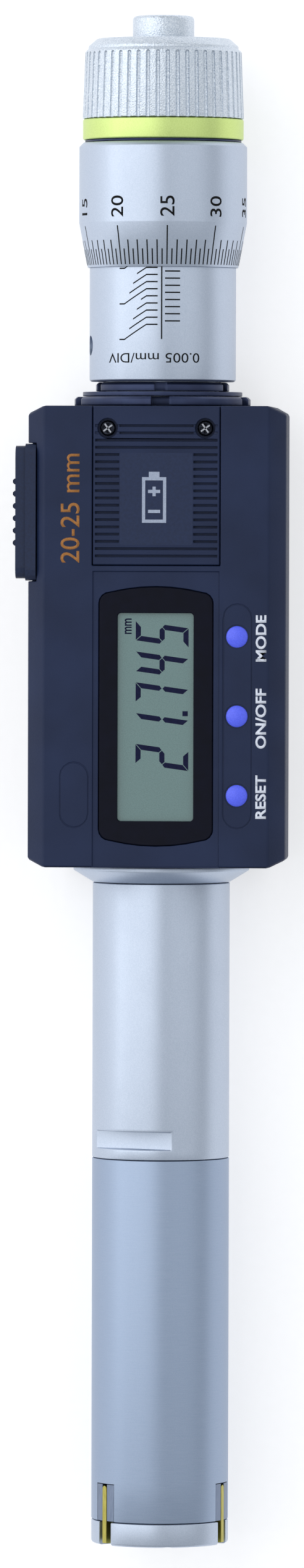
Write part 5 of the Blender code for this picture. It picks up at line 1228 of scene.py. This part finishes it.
# Shares of the button's radius and of its dome's height
BUTTON_CURVE = ((1.0, 0.0), (0.97, 0.2), (0.9, 0.38), (0.78, 0.57), (0.6, 0.76), (0.35, 0.92), (0.0, 1.0))
LABEL_PLACE = 14.77
LABEL_HEIGHT = 1.46
LABEL_WEIGHT = 0.06
LABEL_WIDTH = 1.16
LABELS = (("MODE", -0.15), ("ON/OFF", -11.4), ("RESET", -22.4))
RANGE_TEXT = "20-25 mm"
RANGE_HEIGHT = 2.75
RANGE_PLACE = (-12.1, 18.0)
RANGE_WEIGHT = 0.02
SIGN_MIDDLE = (-0.3, 19.2)
SIGN_WIDTH = 3.4
SIGN_LENGTH = 6.4
SIGN_LINE = 0.45
SIGN_CONTACT = (1.5, 0.75)
SIGN_CONTACT_RISE = 0.6
SIGN_BAR = (1.7, 0.45)
PLUS_RISE = 1.2
PLUS_ARM = (0.45, 0.44)
MINUS_DROP = 1.6


def sign_bars():
    """Places and sizes of a battery sign's bars: its outline, its end contact, a plus and a minus."""
    x, y = SIGN_MIDDLE
    half_width = 0.5 * (SIGN_WIDTH - SIGN_LINE)
    half_length = 0.5 * (SIGN_LENGTH - SIGN_LINE)
    inner = SIGN_LENGTH - 2.0 * SIGN_LINE
    return (((x - half_width, y), (SIGN_LINE, inner)), ((x + half_width, y), (SIGN_LINE, inner)),
            ((x, y - half_length), (SIGN_WIDTH, SIGN_LINE)), ((x, y + half_length), (SIGN_WIDTH, SIGN_LINE)),
            ((x, y + half_length + SIGN_CONTACT_RISE), SIGN_CONTACT), ((x, y + PLUS_RISE), SIGN_BAR),
            ((x, y + PLUS_RISE + SIGN_LINE), PLUS_ARM), ((x, y + PLUS_RISE - SIGN_LINE), PLUS_ARM),
            ((x, y - MINUS_DROP), SIGN_BAR))


def window():
    """Black window frame with an arched outline, and the display's face below its opening."""
    low, high = (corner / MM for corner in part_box("display_window"))
    outline = rounded_outline(low.x, high.x, low.y, high.y, WINDOW_CORNER, WINDOW_ARCH)
    frame_piece = plate("window_frame", outline, high.z, FRAME_DEPTH)
    outline = rounded_outline(VIEW_LEFT, VIEW_RIGHT, VIEW_FOOT, VIEW_TOP, VIEW_CORNER)
    opening = plate("opening", outline, high.z + OVERCUT, FRAME_DEPTH + 2.0 * OVERCUT)
    carve(frame_piece, [opening])
    even_faces(soften(frame_piece, 0.12, 3, 30.0, False))
    dress(frame_piece, "root", "window_plastic", "display_window")
    face_top = high.z - FRAME_DEPTH - DISPLAY_GAP
    outline = rounded_outline(low.x + SEAM, high.x - SEAM, low.y + SEAM, high.y - SEAM, WINDOW_CORNER,
                              WINDOW_ARCH)
    face = plate("display_face", outline, face_top, face_top - low.z)
    dress(face, "root", "lcd_glass")
    return face_top


def segment_outlines():
    """Outlines of the seven segments of a digit: a at the top, then clockwise to f, and g in the middle."""
    high = DIGIT_HEIGHT
    wide = DIGIT_WIDTH
    thick = SEGMENT
    gap = SEGMENT_GAP
    middle = 0.5 * high
    top_bar = [(gap, high), (wide - gap, high), (wide - thick - gap, high - thick),
               (thick + gap, high - thick)]
    left_bar = [(0.0, high - gap), (0.0, middle + 0.5 * thick), (0.5 * thick, middle + gap),
                (thick, middle + 0.5 * thick + gap), (thick, high - thick - gap)]
    cross_bar = [(0.5 * thick + gap, middle), (thick + gap, middle + 0.5 * thick),
                 (wide - thick - gap, middle + 0.5 * thick), (wide - 0.5 * thick - gap, middle),
                 (wide - thick - gap, middle - 0.5 * thick), (thick + gap, middle - 0.5 * thick)]

    def across(points):
        return [(wide - x, y) for x, y in points]

    def below(points):
        return [(x, high - y) for x, y in points]

    return {"a": top_bar, "b": across(left_bar), "c": across(below(left_bar)), "d": below(top_bar),
            "e": below(left_bar), "f": left_bar, "g": cross_bar}


def display(face_top):
    """The reading on the display, in slanted seven-segment digits that read upwards."""
    outlines = segment_outlines()
    top = face_top + SEGMENT_RISE
    marks = []
    for step, letters in enumerate(READING):
        for letter in letters:
            outline = [(DIGIT_BOTTOM - v, DIGIT_FOOT + step * DIGIT_PITCH + u + v * DIGIT_SLANT)
                       for u, v in outlines[letter]]
            marks.append(plate("segment", outline, top, SEGMENT_RISE + INK_SINK))
    marks.append(box_at("point", (*POINT_PLACE, face_top + 0.5 * SEGMENT_RISE),
                        (*POINT_SIZE, SEGMENT_RISE + 2.0 * INK_SINK)))
    unit = lettering("unit", "mm", UNIT_HEIGHT, UNIT_PLACE, 90.0, UNIT_WEIGHT, UNIT_WIDTH)
    marks.append(thicken(unit, face_top, INK_SINK, SEGMENT_RISE))
    return dress(joined("display_reading", marks), "root", "lcd_glass", look=SEGMENT_FINISH)


def buttons():
    """Three round keys with domed tops."""
    for node, body in (("button_top", "button_high"), ("button_middle", "button_mid"),
                       ("button_bottom", "button_low")):
        low, high = (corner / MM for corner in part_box(node))
        centre = (0.5 * (low.x + high.x), 0.5 * (low.y + high.y))
        rim = high.z - BUTTON_DOME
        piece = turned(node.replace("button", "round_key"), [
            (0.0, low.z), (BUTTON_FLANGE, low.z), (BUTTON_FLANGE, BUTTON_FLANGE_TOP),
            (BUTTON_RADIUS, BUTTON_FLANGE_TOP)]
            + [(reach * BUTTON_RADIUS, rim + rise * BUTTON_DOME) for reach, rise in BUTTON_CURVE], 48, centre)
        smooth(piece)
        dress(piece, body, "button_plastic", node)


def front_marks():
    """Printed words beside the buttons, the plain panel with its battery sign, and the measuring range."""
    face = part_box("front_housing")[1].z / MM
    words = [lettering("label", text, LABEL_HEIGHT, (LABEL_PLACE, along), 90.0, LABEL_WEIGHT, LABEL_WIDTH)
             for text, along in LABELS]
    for word in words:
        thicken(word, face, INK_SINK, PAINT_RISE)
    dress(joined("key_labels", words), "root", "housing_plastic", look=WHITE_INK)
    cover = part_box("battery_cover")[1].z / MM
    sign = [box_at("sign", (*place, cover + 0.5 * PAINT_RISE), (*size, PAINT_RISE + 2.0 * INK_SINK))
            for place, size in sign_bars()]
    dress(joined("battery_sign", sign), "root", "housing_plastic", look=SILVER_INK)
    outline = rounded_outline(-PANEL_HALF_WIDTH, PANEL_HALF_WIDTH, PANEL_FOOT, PANEL_TOP, PANEL_CORNER)
    panel = plate("plain_panel", outline, cover + PANEL_RISE, 2.0 * PANEL_RISE)
    dress(panel, "root", "housing_plastic", look=PANEL_FINISH)
    text = lettering("range_text", RANGE_TEXT, RANGE_HEIGHT, RANGE_PLACE, 90.0, RANGE_WEIGHT)
    dress(thicken(text, face, INK_SINK, PAINT_RISE), "root", "housing_plastic", look=BRONZE_INK)


# Floor, lamps and camera

# The floor and the lamps are in metres, and the mottle of the paper's pulp in millimetres
FLOOR_SIZE = 24.0
FLOOR_LIFT = 0.55
PULP_SIZE = 10.0 / 9.0


def studio_floor():
    """White paper floor, matt and plain, that the camera and reflections see brighter than it is lit."""
    bpy.ops.object.select_all(action="DESELECT")
    bpy.ops.mesh.primitive_plane_add(size=FLOOR_SIZE, location=(0.0, 0.0, 0.0))
    floor = bpy.context.active_object
    floor.name = "studio_floor"
    material = finish("white_paper_sweep", {"Roughness": 0.9, "Specular IOR Level": 0.1},
                      {"pulp": (GRAIN, PULP_SIZE, 2.0)}, colour=("pulp", "#d0d0d2", "#d4d4d6"))
    tree = material.node_tree
    shader = tree.nodes["Principled BSDF"]
    path = add_node(tree, "ShaderNodeLightPath")
    seen = add_node(tree, "ShaderNodeMath", settings={"operation": "MAXIMUM"},
                    links={0: path.outputs["Is Camera Ray"], 1: path.outputs["Is Glossy Ray"]})
    seen = add_node(tree, "ShaderNodeMath", settings={"operation": "MAXIMUM"},
                    links={0: seen.outputs["Value"], 1: path.outputs["Is Transmission Ray"]})
    lift = add_node(tree, "ShaderNodeMath", settings={"operation": "MULTIPLY"}, values={1: FLOOR_LIFT},
                    links={0: seen.outputs["Value"]})
    shader.inputs["Emission Color"].default_value = (1.0, 1.0, 1.0, 1.0)
    tree.links.new(lift.outputs["Value"], shader.inputs["Emission Strength"])
    floor.data.materials.append(material)


def softbox(name, lean, along, distance, width, length, radiance):
    """Soft lamp that leans by an angle from overhead, faces the instrument's axis and shows a radiance."""
    turn = math.radians(lean)
    lamp = bpy.data.lights.new(name, "AREA")
    lamp.shape = "RECTANGLE"
    lamp.size = width
    lamp.size_y = length
    lamp.energy = radiance * math.pi * width * length
    thing = bpy.data.objects.new(name, lamp)
    bpy.context.scene.collection.objects.link(thing)
    thing.location = (distance * math.sin(turn), along, distance * math.cos(turn))
    thing.rotation_euler = (0.0, turn, 0.0)


def studio_light():
    """Large soft lamp at the left, a low one beyond it, a weak one at the right and a pale surround."""
    softbox("left_softbox", lean=-38.0, along=0.45, distance=0.9, width=1.35, length=1.3, radiance=1.03)
    softbox("low_softbox", lean=-81.0, along=0.3, distance=0.9, width=0.5, length=1.3, radiance=0.62)
    softbox("right_softbox", lean=40.0, along=0.45, distance=0.9, width=0.9, length=1.3, radiance=0.42)
    world = bpy.data.worlds.new("pale_studio")
    world.use_nodes = True
    background = world.node_tree.nodes["Background"]
    background.inputs["Color"].default_value = (0.92, 0.96, 1.0, 1.0)
    background.inputs["Strength"].default_value = 0.56
    bpy.context.scene.world = world


def photo_camera():
    """Camera nearly overhead, placed as the photograph's."""
    place = Vector(CAMERA_PLACE) * MM
    forward = (Vector(CAMERA_AIM) * MM - place).normalized()
    lean = Vector((-math.sin(CAMERA_ROLL), math.cos(CAMERA_ROLL), 0.0))
    right = forward.cross(lean).normalized()
    up = right.cross(forward)
    lens = bpy.data.cameras.new("photo_camera")
    lens.lens = CAMERA_LENS
    lens.sensor_width = SENSOR
    lens.sensor_fit = "AUTO"
    lens.clip_end = 10.0
    camera = bpy.data.objects.new("photo_camera", lens)
    bpy.context.scene.collection.objects.link(camera)
    camera.matrix_world = Matrix((
        (right.x, up.x, -forward.x, place.x), (right.y, up.y, -forward.y, place.y),
        (right.z, up.z, -forward.z, place.z), (0.0, 0.0, 0.0, 1.0)))
    bpy.context.scene.camera = camera


photo_camera()
studio_floor()
studio_light()
dress_cad_nodes()
measuring_head()
end_cap()
anvils()
extension_tube()
main_barrel()
ring_nuts()
sleeve()
thimble()
thimble_marks()
sleeve_marks()
washer_and_ring()
knob()
nub()
housing_pieces()
strip_seals()
paint_screw_glints()
display(window())
buttons()
front_marks()
bpy.context.scene.view_settings.view_transform = "Standard"
